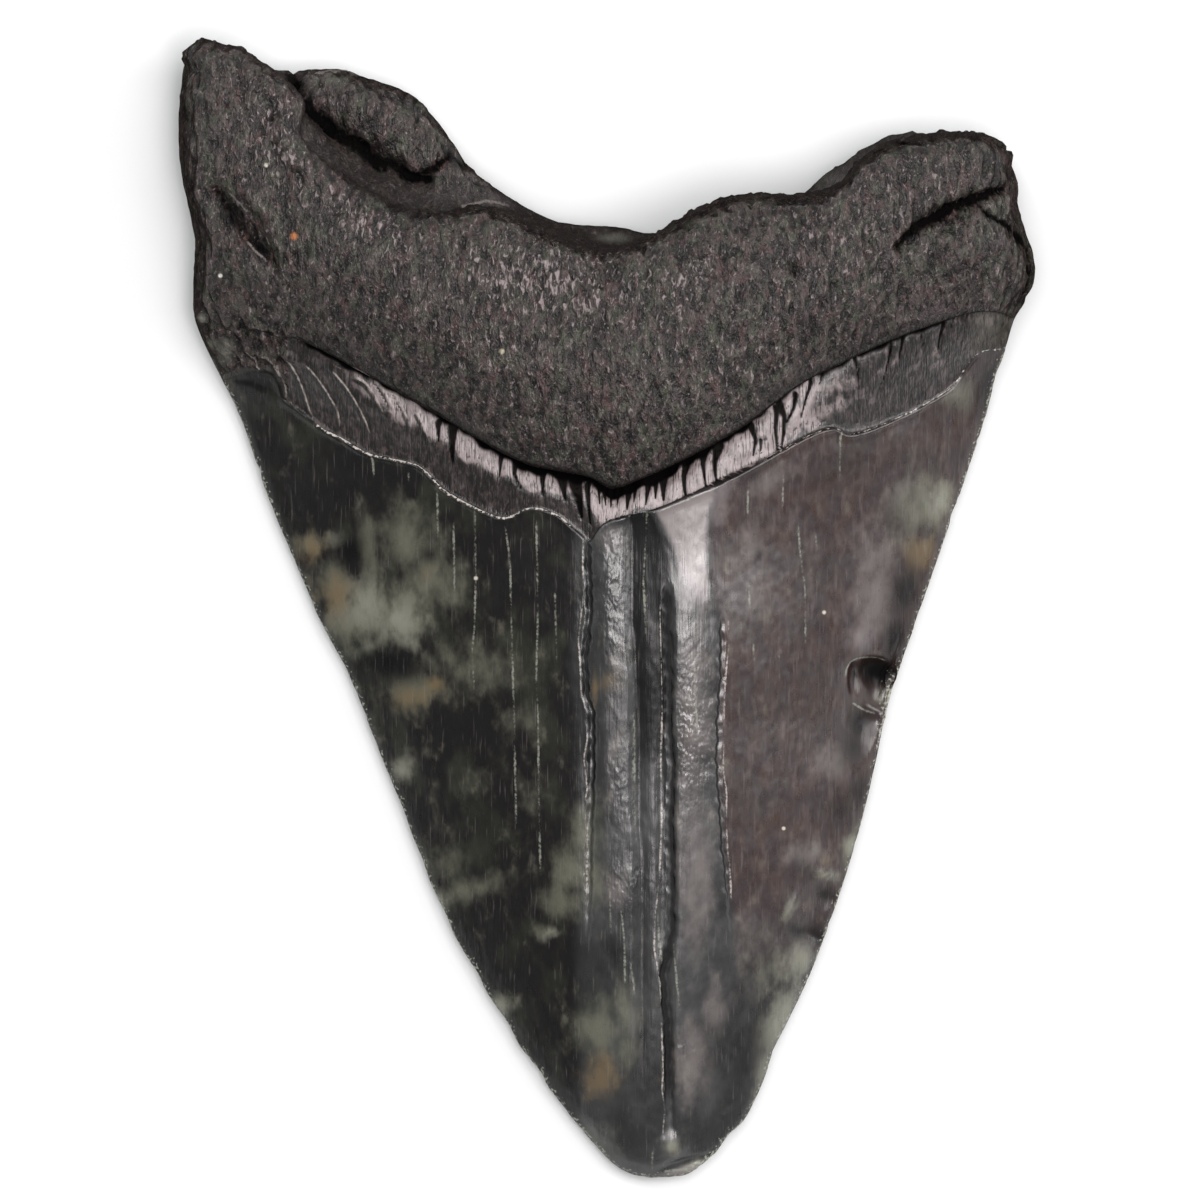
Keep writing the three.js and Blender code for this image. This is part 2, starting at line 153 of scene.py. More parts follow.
bpy.ops.object.select_all(action="DESELECT")
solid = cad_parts[CAD_NODE]
solid.select_set(True)
bpy.context.view_layer.objects.active = solid
bpy.ops.object.duplicate()
tooth = bpy.context.view_layer.objects.active
tooth.name = "fossil_tooth"
tooth.data.name = "fossil_tooth"
for key in list(tooth.keys()):
    del tooth[key]
tooth.parent = None
tooth.data.materials.clear()

bpy.ops.object.mode_set(mode="EDIT")
bpy.ops.mesh.select_all(action="SELECT")
bpy.ops.mesh.remove_doubles(threshold=MERGE)
bpy.ops.mesh.tris_convert_to_quads(face_threshold=math.pi, shape_threshold=math.pi)
bpy.ops.mesh.customdata_custom_splitnormals_clear()
bpy.ops.object.mode_set(mode="OBJECT")

shape = bmesh.new()
shape.from_mesh(tooth.data)
shape.normal_update()
crease = shape.edges.layers.float.new("crease_edge")
for edge in shape.edges:
    if len({face.normal.z > 0 for face in edge.link_faces}) == 2:
        edge[crease] = KEENNESS
shape.to_mesh(tooth.data)
shape.free()
print("quads and triangles of the copy:", len(tooth.data.polygons))

# %% [markdown]
# A Subdivision Surface takes the facets away. Two levels are enough for the smooth crown. The
# root, the dark band, the open cracks, the chip and the worn tip carry finer relief, so only
# their faces are divided once more, which keeps the mesh light. The root's bumps run up and
# down, so its faces are halved across alone.

# %% Subdivision where the surface needs it
FACE_LEVELS = 2
CROSSWISE = 1.2  # an edge this many times wider than high runs across

rounding = tooth.modifiers.new("rounding", "SUBSURF")
rounding.levels = FACE_LEVELS
rounding.render_levels = FACE_LEVELS
bpy.ops.object.modifier_apply(modifier=rounding.name)


def values(collection, name, width=1, kind=float):
    """One property of all items of a mesh list, as an array."""
    out = np.empty(len(collection) * width, kind)
    collection.foreach_get(name, out)
    return out.reshape(-1, width) if width > 1 else out


def divide(chosen, across_only=False):
    """Divides the chosen faces of the tooth once in edit mode, or only their crosswise edges."""
    mesh = tooth.data
    edge_on = np.zeros(len(mesh.edges), bool)
    corners_of_face = values(mesh.polygons, "loop_total", kind=int)
    edge_on[values(mesh.loops, "edge_index", kind=int)[np.repeat(chosen, corners_of_face)]] = True
    ends = values(mesh.edges, "vertices", 2, int)
    if across_only:
        span = np.abs(np.diff(values(mesh.vertices, "co", 3)[ends], axis=1))[:, 0]
        edge_on &= span[:, 0] > CROSSWISE * span[:, 1]
    corner_on = np.zeros(len(mesh.vertices), bool)
    corner_on[ends[edge_on].ravel()] = True
    mesh.polygons.foreach_set("select", np.zeros_like(chosen) if across_only else chosen)
    mesh.edges.foreach_set("select", edge_on)
    mesh.vertices.foreach_set("select", corner_on)
    bpy.context.tool_settings.mesh_select_mode = (False, True, False)
    bpy.ops.object.mode_set(mode="EDIT")
    bpy.ops.mesh.subdivide(number_cuts=1, smoothness=0)
    bpy.ops.object.mode_set(mode="OBJECT")


def triangle_count():
    return int((values(tooth.data.polygons, "loop_total", kind=int) - 2).sum())


# The open cracks of the crown, from the root end to the tip
OPEN_CRACKS = {}
OPEN_CRACKS["left"] = [
    (-2.2, 7.6), (-2.1, 5.2), (-1.9, 0.8), (-1.9, -1.4), (-2.4, -4.8), (-2.4, -7.5), (-2.2, -10.3),
    (-1.7, -11.5), (-1.7, -20.3), (-1.9, -26.4), (-1.9, -37),
]
OPEN_CRACKS["middle"] = [
    (6.7, 2.4), (6.9, -3.7), (7, -9.2), (6.8, -13.7), (7.2, -17.6), (6.9, -24.8), (7.1, -27),
    (7.2, -32.6), (7.1, -36.5), (6.3, -40.9), (6.5, -43.7), (6.8, -48.1), (6.9, -55.9),
    (6.8, -58.7),
]
OPEN_CRACKS["right"] = [
    (12.1, -1), (12.1, -8.1), (11.9, -11.4), (11.9, -18.1), (12.2, -21.4), (12.5, -25.9),
    (13, -30.3), (13.5, -36),
]

centres = values(tooth.data.polygons, "center", 3) / MM
up = values(tooth.data.polygons, "normal", 3)[:, 2] > 0
below_lip = line_height(ROOT_LINE, centres[:, 0]) - centres[:, 1]
above_enamel = centres[:, 1] - line_height(ENAMEL_LINE, centres[:, 0])
in_band = (below_lip > -0.5) & (above_enamel > -0.7) & (np.abs(centres[:, 0]) < 43)
CHIP, CHIP_REACH = (29.3, -9.6), (3.4, 6)
TIP, TIP_REACH = (8, -61.3), (5, 2.6)
CRACK_REACH = 0.8
fine = in_band
for points in OPEN_CRACKS.values():
    fine |= along_line(points, centres[:, 0], centres[:, 1])[0] < CRACK_REACH
for at, reach in ((CHIP, CHIP_REACH), (TIP, TIP_REACH)):
    fine |= np.hypot(*((centres[:, :2] - at) / reach).T) < 1
divide(up & fine)
print("triangles with the band and cracks divided:", triangle_count())

centres = values(tooth.data.polygons, "center", 3) / MM
normals = values(tooth.data.polygons, "normal", 3)
on_root = centres[:, 1] > line_height(ROOT_LINE, centres[:, 0])
divide((normals[:, 2] > 0.3) & on_root, across_only=True)
print("triangles with the root divided:", triangle_count())

# %% [markdown]
# The relief is sculpted next. By hand this would be brushes in sculpt mode. Here each brush is a
# few lines that lift or sink the vertices, so every stroke has a place and a depth in
# millimetres. The crown of this fossil is made of long slabs between its cracks, each tilted a
# little its own way, and that is why one of them shines near the root while its neighbour
# stays dark.

# %% Places, distances and the slabs of the crown
places = values(tooth.data.vertices, "co", 3) / MM
normals = values(tooth.data.vertex_normals, "vector", 3)
x, y = places.T[:2]
front = normals[:, 2] > -0.05


def slope_of(points, x):
    return (line_height(points, x + 0.2) - line_height(points, x - 0.2)) / 0.4


lip_y = line_height(ROOT_LINE, x)
enamel_y = np.where(front, line_height(ENAMEL_LINE, x), line_height(BACK_ENAMEL_LINE, x))
back_lip_y = lip_y + 6 * bell(x / 22)
from_lip = (np.where(front, lip_y, back_lip_y) - y) / np.hypot(1, slope_of(ROOT_LINE, x))
from_enamel = (y - enamel_y) / np.hypot(1, slope_of(ENAMEL_LINE, x))
on_root = from_lip < 0
on_crown = from_enamel < 0

# Vertices of the outline, where faces that look up meet faces that look down
face_up = values(tooth.data.polygons, "normal", 3)[:, 2] > 0
loop_face = np.repeat(face_up, values(tooth.data.polygons, "loop_total", kind=int))
loop_vertex = values(tooth.data.loops, "vertex_index", kind=int)
seen_up = np.zeros(len(x), bool)
seen_down = np.zeros(len(x), bool)
seen_up[loop_vertex[loop_face]] = True
seen_down[loop_vertex[~loop_face]] = True
outline = places[seen_up & seen_down]
tree = kdtree.KDTree(len(outline))
for number, place in enumerate(outline):
    tree.insert(place, number)
tree.balance()
inside = np.array([tree.find(place)[2] for place in places])
# A stroke fades out towards the outline, which keeps its place, and on the root only partly
deep_root = from_lip < -1
off_rim = np.where(deep_root, 0.3, 0) + np.where(deep_root, 0.7, 1) * smooth(inside, 0, 0.8)


def line_x(points, y):
    """x of a top-to-bottom line at each y."""
    line = np.array(points)[::-1]
    return np.interp(y, line[:, 1], line[:, 0])


BETWEEN_SLABS = [(2.2, 9.7), (2.3, -1.4), (2.8, -8.1), (3, -14.8), (3, -22.6), (3.3, -27),
                 (3.4, -45)]
CREST_HEIGHT = 1.05
CREST_ROUNDING = 0.5
FULLNESS = 0.7
crack_left = line_x(OPEN_CRACKS["left"], y)
between = line_x(BETWEEN_SLABS, y)
crack_middle = line_x([(4.9, 10.8), (6.1, 8.6), (7.2, 5.8), (7.4, 4.1), *OPEN_CRACKS["middle"]], y)
crack_right = line_x([(12.3, 14.5), (11.1, 10.2), (11.0, 4.1), (11.5, 0.8),
                      *OPEN_CRACKS["right"], (13.6, -50)], y)

lift = np.zeros(len(x))
crown = front & on_crown
fade_down = smooth(y, -56, -40)


def tilt(x, start, end, at_start, at_end):
    """Height that runs from one value to another across a slab, and none outside it."""
    share = (x - start) / (end - start)
    inner = smooth(share, -0.06, 0.06) * (1 - smooth(share, 0.94, 1.06))
    return inner * (at_start + (at_end - at_start) * np.clip(share, 0, 1))


slabs = tilt(x, crack_left, between, 0.16, 0.0)
slabs += tilt(x, between, crack_middle, -0.85, 0.1)
slabs += 0.1 * (x >= crack_middle) * (1 - np.clip((x - crack_middle) / 4, 0, 1))
lift += np.where(crown, slabs * fade_down, 0)
# The crest beside the middle crack rises to the right one, and from there the flank falls away
rising = np.clip((x - crack_middle) / (crack_right - crack_middle), 0, 1)
falling = 1 - np.clip((x - crack_right) / 14, 0, 1)
crest = np.where(x < crack_right, rising, falling ** 1.3)
lift += np.where(crown, CREST_HEIGHT * crest * smooth(y, -52, -8), 0)
roundness = np.exp(-(((x - 9.4) / 3) ** 2 + ((y + 8) / 30) ** 2) ** 1.5)
lift -= np.where(crown, CREST_ROUNDING * roundness, 0)
# It stands fullest just below the enamel's edge, where it looks almost straight up
lift += np.where(crown, FULLNESS * bell((y + 3) / 8.5) * bell((x - 7) / 8), 0)
print("slab heights, mm:", round(float(slabs.min()), 2), "to", round(float(slabs.max()), 2))

# %% [markdown]
# Below the root's lip lies the dark band. On the real tooth its enamel has flaked off, so it is
# a little sunken and crossed by short cracks that follow the pull of the root. Just under the
# lip it lies level, so it catches the light there, and then it rolls down to the enamel. The
# strokes are lists of points: half a minute of drawing for each crack, and each one keeps its
# own width and taper.

# %% The dark band, its cracks and its fan of streaks
BAND_CRACKS = [
    (0.7, [(-17.6, 20.8), (-17.2, 16.1)]), (0.3, [(-19.1, 20.3), (-18.8, 18.4)]),
    (0.3, [(-12.1, 16.9), (-12, 14.3)]), (0.3, [(-10.5, 16), (-10.4, 14.7), (-9.7, 13.2)]),
    (0.4, [(-7.4, 14.9), (-7.2, 12.4)]), (0.7, [(-5.2, 14.3), (-4.7, 11.9)]),
    (0.9, [(-3.8, 14.1), (-3.2, 12.1), (-2.9, 9.9)]), (0.3, [(-2.4, 13.4), (-1.9, 9.2)]),
    (0.2, [(-1.1, 13.1), (-1, 11.4)]), (0.2, [(-0.4, 13), (-0.2, 11.2)]),
    (0.2, [(0.4, 12.9), (0.4, 11)]), (0.2, [(1.2, 13), (1.1, 11.2)]),
    (0.4, [(2.3, 12.8), (2.2, 10.7)]), (0.2, [(3, 13), (3, 11.6)]),
    (0.4, [(4.5, 13.8), (4.3, 11.3)]), (0.3, [(5.3, 14), (5.4, 11.9)]),
    (0.6, [(6.1, 14.6), (6.3, 11.7)]), (0.7, [(9.2, 16.8), (8.6, 14.6), (8.8, 12.2)]),
    (0.4, [(11.3, 17.4), (10.9, 15.8), (11.1, 13.4)]),
    (0.6, [(12.8, 17.9), (12.3, 16), (12.3, 14)]),
    (0.4, [(16.4, 20.1), (16.9, 18.3), (16.5, 16.6)]), (0.2, [(17.4, 18.3), (17.3, 16.9)]),
    (0.4, [(19.3, 21.9), (19.1, 19.7), (19, 16.3)]),
    (0.5, [(19.6, 22.7), (20.1, 20.8), (19.9, 19.1), (19.4, 17.4)]),
    (0.4, [(21.4, 23.4), (21.1, 21.9), (20.3, 20.2)]),
    (0.3, [(23.2, 24.9), (22.5, 23), (21.8, 20.8)]), (0.2, [(24.6, 25.9), (23.9, 24.6)]),
    (0.5, [(27.8, 27.4), (28.1, 25.8)]), (0.2, [(28, 25.8), (27.8, 21.9)]),
    (0.3, [(31.8, 29.3), (31.4, 27.4), (30.8, 25.2), (30.3, 24.3)]),
    (0.5, [(33.5, 30.4), (32.9, 29.1), (32.5, 27.4)]), (0.2, [(34.9, 30.7), (35.2, 29.1)]),
    (0.5, [(37.9, 32), (37.2, 30.2), (36.8, 28.3)]), (0.2, [(38.9, 32.1), (38.1, 30.6)]),
    (0.2, [(40.5, 32.6), (39.6, 31.2)]),
]
FAN_STREAKS = [
    [(-36, 28.3), (-34.6, 26.1), (-33.8, 24.3), (-33, 21.9), (-32.5, 20.7)],
    [(-36.8, 27.2), (-35.9, 25), (-35.5, 23)],
    [(-33.7, 27.2), (-32.1, 25.4), (-30.8, 23.4), (-29.9, 21.7), (-29.6, 19.4)],
    [(-30.8, 26.6), (-29.1, 24.6), (-27.9, 22.8), (-26.8, 20.6), (-26.1, 18.6)],
    [(-28.4, 25.7), (-26.9, 24.7), (-25.5, 22.8), (-24.6, 21.2)],
    [(-26.1, 25), (-24.8, 23.6), (-23.5, 21.2)], [(-24.4, 24.1), (-23, 22.1), (-21.6, 19.6)],
    [(-38.4, 28.3), (-37, 26.8), (-36.2, 25.4)], [(-40.2, 28.6), (-39, 27.2), (-38.4, 26.1)],
    [(-21.4, 21.7), (-20.4, 19.9), (-19.5, 17.9)],
]

LEVEL_SINK = 0.27
GROOVE_DEPTH = 0.7
FAN_HEIGHT = 0.14
FAR = 9.0  # stands for "no line near", in the distances below

band = front & ~on_root & ~on_crown
off_root = front & ~on_root
level_width = 2.9 + 1.3 * bell((x - 0.3) / 2.6) + 2.4 * smooth(x, 2, 7)
level_width = level_width + 0.5 * np.sin(1.3 * x) * np.sin(0.47 * x)
level_share = smooth(x, -31, -24) * (1 - 0.85 * smooth(x, 18, 31))
sink = np.clip(level_width - from_lip, 0, None)
lift -= np.where(band, LEVEL_SINK * sink * level_share, 0)
groove_run = smooth(x, -36, -33) * (1 - smooth(x, 38, 42))
ragged = np.sin(2.1 * x) * np.sin(0.83 * x + 1)
groove_width = (0.52 + 0.46 * bell(x / 17)) * (1 + 0.25 * ragged)
lift -= np.where(band, GROOVE_DEPTH * bell(from_lip / groove_width) * groove_run, 0)

crack = np.full(len(x), FAR)
for width, points in BAND_CRACKS:
    distance, share, _ = along_line(points, x, y)
    half = 0.88 * width * (1 - 0.75 * share) ** 1.5 + 0.06
    half = half * (1 - 0.45 * smooth(x, 13, 27))
    crack = np.where(front, np.minimum(crack, distance / half), crack)
    depth = (0.12 + 0.35 * width) * (1 - 0.5 * share)
    lift -= np.where(off_root, depth * bell(distance / (half + 0.1)), 0)
fan = np.full(len(x), FAR)
for points in FAN_STREAKS:
    distance, share, _ = along_line(points, x, y)
    fan = np.where(band, np.minimum(fan, distance + 0.12 * share), fan)
lift += np.where(band, FAN_HEIGHT * bell(fan / 0.28), 0)
print("band vertices:", int(band.sum()))

# %% [markdown]
# The enamel is a hard glossy sheet, so its edge on the band is a small beaded step, and its long
# cracks are narrow with one raised lip, painted black inside as shade. Hairlines, the pale rims
# beside the cracks and a few painted highlights along lit rims, chip edges, the tip and the band's
# light streaks are only lines on the surface. They are thinner than the faces of the mesh, so
# the mesh only stores how far each vertex lies from the nearest line, to its left or right, and
# how firmly the line is drawn there. Between vertices that distance runs evenly, so the
# material can draw a crisp line where it crosses zero.

# %% Enamel edge, open cracks and fine lines
HAIRLINES = [
    [(-22.1, 15.2), (-22, 13)], [(-18.9, 13), (-18.8, 7.4)],
    [(-14.7, 10.8), (-14.6, 3), (-14.8, -2.6), (-15, -4.8), (-14.8, -9.2)],
    [(-11.4, 9.4), (-10.8, 5.2), (-10.6, -3.7), (-10.4, -10.3), (-10.3, -14.8), (-10.1, -24.8)],
    [(-7.9, 9.7), (-7.8, 5.2), (-7.7, -1.4), (-7.9, -8.1), (-7.7, -11.4), (-7.6, -21.4),
     (-7.4, -30.3)],
    [(-5.8, 2), (-5.6, -6.4)], [(-17.1, 9.7), (-17, 3.6), (-17, -1)], BETWEEN_SLABS[:-1],
    [(4.4, 10.8), (4.3, 7.4), (4, 3), (4.1, 1.3), (4.2, -0.9), (4.3, -3.7)],
    [(-26.1, 16.9), (-25.9, 14.1)], [(9.4, -1.4), (9.6, -9.2), (10, -14.8)],
    [(0.2, -28.1), (0.4, -36.4)], [(1.2, -30.3), (1.9, -37), (2, -42.6)],
    [(2.5, -39.2), (3.4, -44.8)], [(15.4, 14.7), (15.3, 9.7)],
    [(15.5, 6), (15.4, 0.8), (15.8, -2)], [(21.1, 9.6), (21.3, 6.3), (21.9, 1.9), (21.9, -4)],
    [(23, 9), (23.3, 6)], [(19.4, 15.2), (19.3, 10.8)], [(7.3, -37), (7.7, -41.4), (8.1, -45.3)],
    [(5, -60.3), (5, -63.1)], [(18.8, -3), (18.9, -6.5)], [(25.9, 19.7), (25.8, 14.1)],
    [(15.8, -3.7), (16.1, -7.4)], [(5.7, -33.5), (5.9, -37.6), (6.2, -40.5)],
]
RIMS = [
    [(-2.7, 8.6), (-2.7, 0.8), (-3.2, -3.7), (-3, -5.9), (-2.9, -9.2), (-2.5, -10.9),
     (-2.2, -13.1), (-2.2, -14.8), (-2.6, -16.7), (-2.2, -20.3), (-2.8, -22.6), (-2.2, -23.7),
     (-2.3, -33)],
    [(6, 0.8), (5.9, -0.9), (6, -5.9), (6.1, -10.3), (6, -17), (6.1, -23.7), (5.9, -30.3),
     (5.4, -34.8), (5.3, -38.1), (5.6, -39.8), (5.9, -42), (6.1, -48.1), (6.2, -51.4),
     (6.1, -53.7), (6.4, -55.9), (6.1, -59.2)],
    [(12.9, -1.2), (13, -3.7), (12.7, -5.9), (12.5, -9.2), (12.5, -18.1), (12.9, -20.3),
     (12.9, -23.1), (13.1, -27), (13.4, -29.2), (13.6, -32.6)],
]
# Painted highlights: lit rims of the root, the chip and the tip, and the lit rim under the groove
PAINTED_HIGHLIGHT_LINES = [
    [(-42, 46), (-39.9, 43.7)], [(-40.5, 40.8), (-37.9, 38)],
    [(-33.1, 59.1), (-31.4, 59.4), (-29.1, 59.6), (-27.3, 59)],
    [(26.5, -8.1), (26.6, -6.8), (27.5, -5.9), (29, -5.7), (30.5, -5.9), (31.8, -6.4)],
    [(27.2, -10.6), (28.6, -11.4), (29.9, -11.9)],
    [(5.9, -62.8), (7.5, -62.6), (9.2, -62.4), (10.6, -61.9), (11.9, -61)],
    [(-30.6, 27.2), (-27.2, 26.1), (-24.7, 23.6), (-23.7, 21.4)],
    [(-16.6, 45.1), (-13.2, 45.4), (-10.4, 44.6)],
]
# Half width of each open crack, half of the dark line drawn in it, and its depth, all in mm
OPEN_SIZES = {"left": (0.34, 0.75, 0.45), "middle": (0.42, 1.6, 0.6), "right": (0.24, 0.65, 0.3)}
EDGE_STEP = 0.22
RAISED_LIP = 0.12

wobble = np.array([noise.noise((0.31 * a, 0.9 * a, 4.0)) for a in x])
edge_step = EDGE_STEP * bell((from_enamel + 0.25) / 0.3) * (1 + 0.6 * wobble)
lift += np.where(front, edge_step * smooth(np.abs(x), 42, 38), 0)


def line_distances(lines):
    """Signed distance to the nearest of the lines, and how firmly it is drawn there."""
    nearest = np.full(len(x), FAR)
    firmness = np.zeros(len(x))
    for line in lines:
        offset = x - line_x(line, y)
        top, foot = line[0][1], line[-1][1]
        inside_run = smooth(y, foot - 1.2, foot + 1.5) * (1 - smooth(y, top - 0.6, top + 0.4))
        closer = np.abs(offset) < np.abs(nearest)
        nearest = np.where(closer, offset, nearest)
        start = line[0][0]
        uneven = 0.7 + 0.3 * np.sin(0.9 * y + 2.3 * start) * np.sin(0.37 * y + start)
        firm = inside_run * uneven * (1 - smooth(np.abs(offset), 0.5, 0.85))
        firmness = np.where(closer, firm, firmness)
    return nearest, firmness * crown


# Neighbouring hairlines lie in two sets, so that each keeps its own side of zero
hair_a, firm_a = line_distances(HAIRLINES[0::2])
hair_b, firm_b = line_distances(HAIRLINES[1::2])
rim_gap, rim_firm = line_distances(RIMS)
light_gap = np.full(len(x), FAR)
light_firm = np.zeros(len(x))
for line in PAINTED_HIGHLIGHT_LINES + FAN_STREAKS:
    distance, share, side = along_line(spline(line, 4), x, y)
    closer = distance < np.abs(light_gap)
    light_gap = np.where(closer, distance * side, light_gap)
    firm = (1 - 0.4 * share) * smooth(share, 0, 0.12) * (1 - smooth(share, 0.88, 1))
    firm = firm * (1 - smooth(distance, 0.4, 0.65))
    light_firm = np.where(closer, firm * front, light_firm)
open_gap = np.full(len(x), FAR)
open_firm = np.zeros(len(x))
for name, points in OPEN_CRACKS.items():
    half_width, half_line, depth = OPEN_SIZES[name]
    offset = x - line_x(points, y) + 0.11 * np.sin(3.1 * y) * np.sin(1.3 * y + 2)
    top, foot = points[0][1], points[-1][1]
    run = smooth(y, foot - 2, foot + 9) * (1 - smooth(y, top - 1.5, top + 0.8))
    if name == "left":
        run = run * (1 - 0.45 * smooth(-y, 17, 22))
    rough = 1 + 0.35 * np.sin(2.3 * y) * np.sin(0.9 * y + 1)
    lift -= np.where(crown, depth * run * rough * bell(offset / half_width), 0)
    raised = 1 if name == "right" else -1
    lift += np.where(crown, RAISED_LIP * run * bell((offset - raised * 0.55) / 0.25), 0)
    closer = np.abs(offset) < np.abs(open_gap)
    open_gap = np.where(closer, offset / half_line, open_gap)
    open_firm = np.where(closer, run * (1 - smooth(np.abs(offset), 0.6, 0.9)) * crown, open_firm)
print("hairlines:", len(HAIRLINES), "open cracks:", len(OPEN_CRACKS))

# %% [markdown]
# The root is petrified dentine, porous like old bone: short upright bumps with pits between
# them, on top of slow swells. Sculpted noise gives the larger ones here, stretched along the
# tooth, and the material adds the grain that is too fine for the mesh. The crown gets slow
# unevenness of a few hundredths of a millimetre, which is enough to break up a reflection.

# %% Root relief, uneven crown, chips and nicks
FRONT_EDGE = [
    (-48, 62.6), (-42.8, 61.6), (-40.2, 60.8), (-38.4, 59.3), (-36.2, 57.8), (-34.4, 56.1),
    (-34.9, 53.6), (-34.6, 51.4), (-32.2, 49), (-29.7, 47.3), (-26.4, 45.4), (-23.1, 43.7),
    (-18.6, 43.2), (-14.2, 43.8), (-9.7, 42.3), (-5.3, 40.2), (-0.8, 38.7), (3.6, 39.7),
    (6.4, 41.2), (10.3, 43.4), (14.7, 44.8), (20.3, 44.8), (24.2, 45.4), (26.4, 46.6),
    (28.1, 48.6), (31.4, 50.9), (33.1, 51.4), (39.2, 51.9), (46, 50.6),
]
FOLDS = [
    (0.8, 1.3, [(-36, 60.6), (-34.8, 59.3), (-33.1, 57), (-31.4, 54), (-29.3, 52.1), (-27.4, 50.9),
     (-25.5, 49.4), (-23.6, 48.9), (-22.1, 47.9), (-19.8, 47.3)]),
    (0.8, 1.2, [(44.4, 46.4), (42.4, 45.8), (40, 44.9), (37.9, 43.8), (34.4, 42), (32.4, 40)]),
    (1.5, 0.9, [(-43.6, 45.9), (-42.2, 43.7), (-40.6, 41.7), (-38.9, 39.8), (-37.3, 37.8)]),
    (0.45, 0.4, [(41.6, 44.2), (45.2, 41.7), (46.6, 39), (46.5, 34)]),
    (0.6, 0.6, [(-21, 47.6), (-19, 48.9), (-17.2, 50.3)]),
    (0.35, 0.5, [(26.5, 46.2), (28.5, 48.2), (31.8, 50.4), (33.6, 50.8), (39, 51.4)]),
    (0.3, 0.4, [(-12, 42), (-7, 40.6), (-2, 38.8), (0.5, 38.6), (3.4, 39.4), (7, 41.4)]),
]


def lumps(size, shift=0.0):
    """Smooth random heights from -1 to 1, with lumps of the given size along x, y and z."""
    scaled = (places / np.array(size) + shift).tolist()
    return np.array([noise.noise(place) for place in scaled])


SHOULDER, BUMP, PIT, SWELL = 1.25, 0.42, 0.34, 0.22  # full heights, in millimetres
PIT_TOP = 0.15  # pits only sink, so their noise is cut off above this
WALL_CREASE = 0.7

bumps = lumps((0.85, 1.8, 1.2))
pits = lumps((0.65, 1.5, 0.9), 7.0)
swells = lumps((7, 6, 7), 3.0)
root_share = smooth(-from_lip, 0.15, 0.9)
left_shoulder = smooth(-x, 34.6, 36.2) * front * smooth(from_enamel, 0.1, 0.8)
root_share = np.maximum(root_share, left_shoulder)
distance, _, side = along_line(spline(FRONT_EDGE, 4), x, y)
beyond = np.where(front, distance * side, -20)
distance, _, side = along_line(spline(FOLDS[0][2], 4), x, y)
ledge = smooth(distance * side, 0.3, 1.3) * smooth(-x, 12, 15)
# Painted shade: the wall beyond the front edge is darkened in the root's colour
hidden = smooth(beyond, -0.95, -0.15) * (1 - ledge)
# The face of the root ends in a sharp edge, so its shoulder is pushed out to the wall
shoulder = smooth(beyond, -2.7, -1.3) * (1 - smooth(beyond, -0.3, 1.0))
root_front = on_root & front
lift += np.where(root_front, SHOULDER * shoulder * smooth(inside, 1, 4), 0)
worn = smooth(beyond, 0, 1.2) * (1 - ledge)
rough_relief = BUMP * bumps + PIT * np.minimum(pits, PIT_TOP)
root_lift = SWELL * swells + rough_relief * (1 - 0.6 * worn)
lift += np.where(on_root | (left_shoulder > 0), root_lift * root_share, 0)
# Behind the front edge the root has broken away: a steep wall, and a deep crease at its foot
wall = bell((beyond - 1.3) / 0.9) * smooth(np.abs(x + 4), 2, 12)
lift -= np.where(on_root, WALL_CREASE * wall, 0)
fold = np.full(len(x), FAR)
for width, depth, points in FOLDS:
    distance, share, _ = along_line(spline(points, 4), x, y)
    half = width * (0.45 + 0.55 * np.sin(np.pi * np.clip(share, 0.08, 0.92)))
    # The dent is wide and open, so less of it stays in the dark
    into_dark = distance / half + (0.75 if width > 1 else 0)
    fold = np.where(root_front, np.minimum(fold, into_dark), fold)
    lift -= np.where(root_front, depth * bell(distance / half), 0)
lift += np.where(~on_root, 0.05 * lumps((4, 7, 5), 5.0) + 0.016 * lumps((1.1, 3.0, 2), 9.0), 0)


def dab(firmness, middle_x, middle_y, long, wide, turn=0):
    """1 at the middle of an oval and 0 well outside it, with a firm or a soft edge."""
    angle = math.radians(turn)
    dx, dy = x - middle_x, y - middle_y
    along = (dx * math.cos(angle) + dy * math.sin(angle)) / long
    across = (dy * math.cos(angle) - dx * math.sin(angle)) / wide
    return np.exp(-(along ** 2 + across ** 2) ** firmness)


# Each oval is its middle and two half sizes, its turn in degrees if it has one, and its height
CHIPS = [
    (30.1, -7.3, 2.2, 1.5, -12, -1.1), (27.5, -8, 0.6, 1.7, -0.5),
    (30.6, -11.9, 1.9, 0.6, -28, 0.45), (28.2, -13.6, 1.6, 2.4, -0.5),
    (30.4, -9.6, 1.3, 1.3, -0.35), (8.8, -61.7, 2.6, 0.5, 14, -0.3),
    (22, -36.2, 2.4, 1, -20, -0.45), (24.2, -32, 1.8, 1.1, -25, -0.35),
    (20.3, -33.6, 0.5, 2, -25, 0.25), (24.7, -29.8, 2, 0.5, -5, 0.25),
    (7.1, -59.9, 1.5, 1.4, 0.45), (21, 37.7, 0.7, 0.7, -0.9), (29.2, 39.7, 0.6, 0.9, -0.9),
    (-44, 35.1, 0.9, 0.8, 0.5), (-42.6, 41.6, 4.2, 0.7, -50, 0.5),
    (-38.8, 44.6, 4.2, 0.7, -50, 0.4), (37, 40.4, 5, 0.8, 34, 0.5), (-45.2, 32.2, 0.7, 0.7, 0.4),
    (-35.6, 28, 1.6, 0.5, -25, 0.4),
]
CHIP_EDGE = 1.5
NICK_DEPTH = 0.22

for *oval, height in CHIPS:
    lift += np.where(front, height * dab(CHIP_EDGE, *oval), 0)

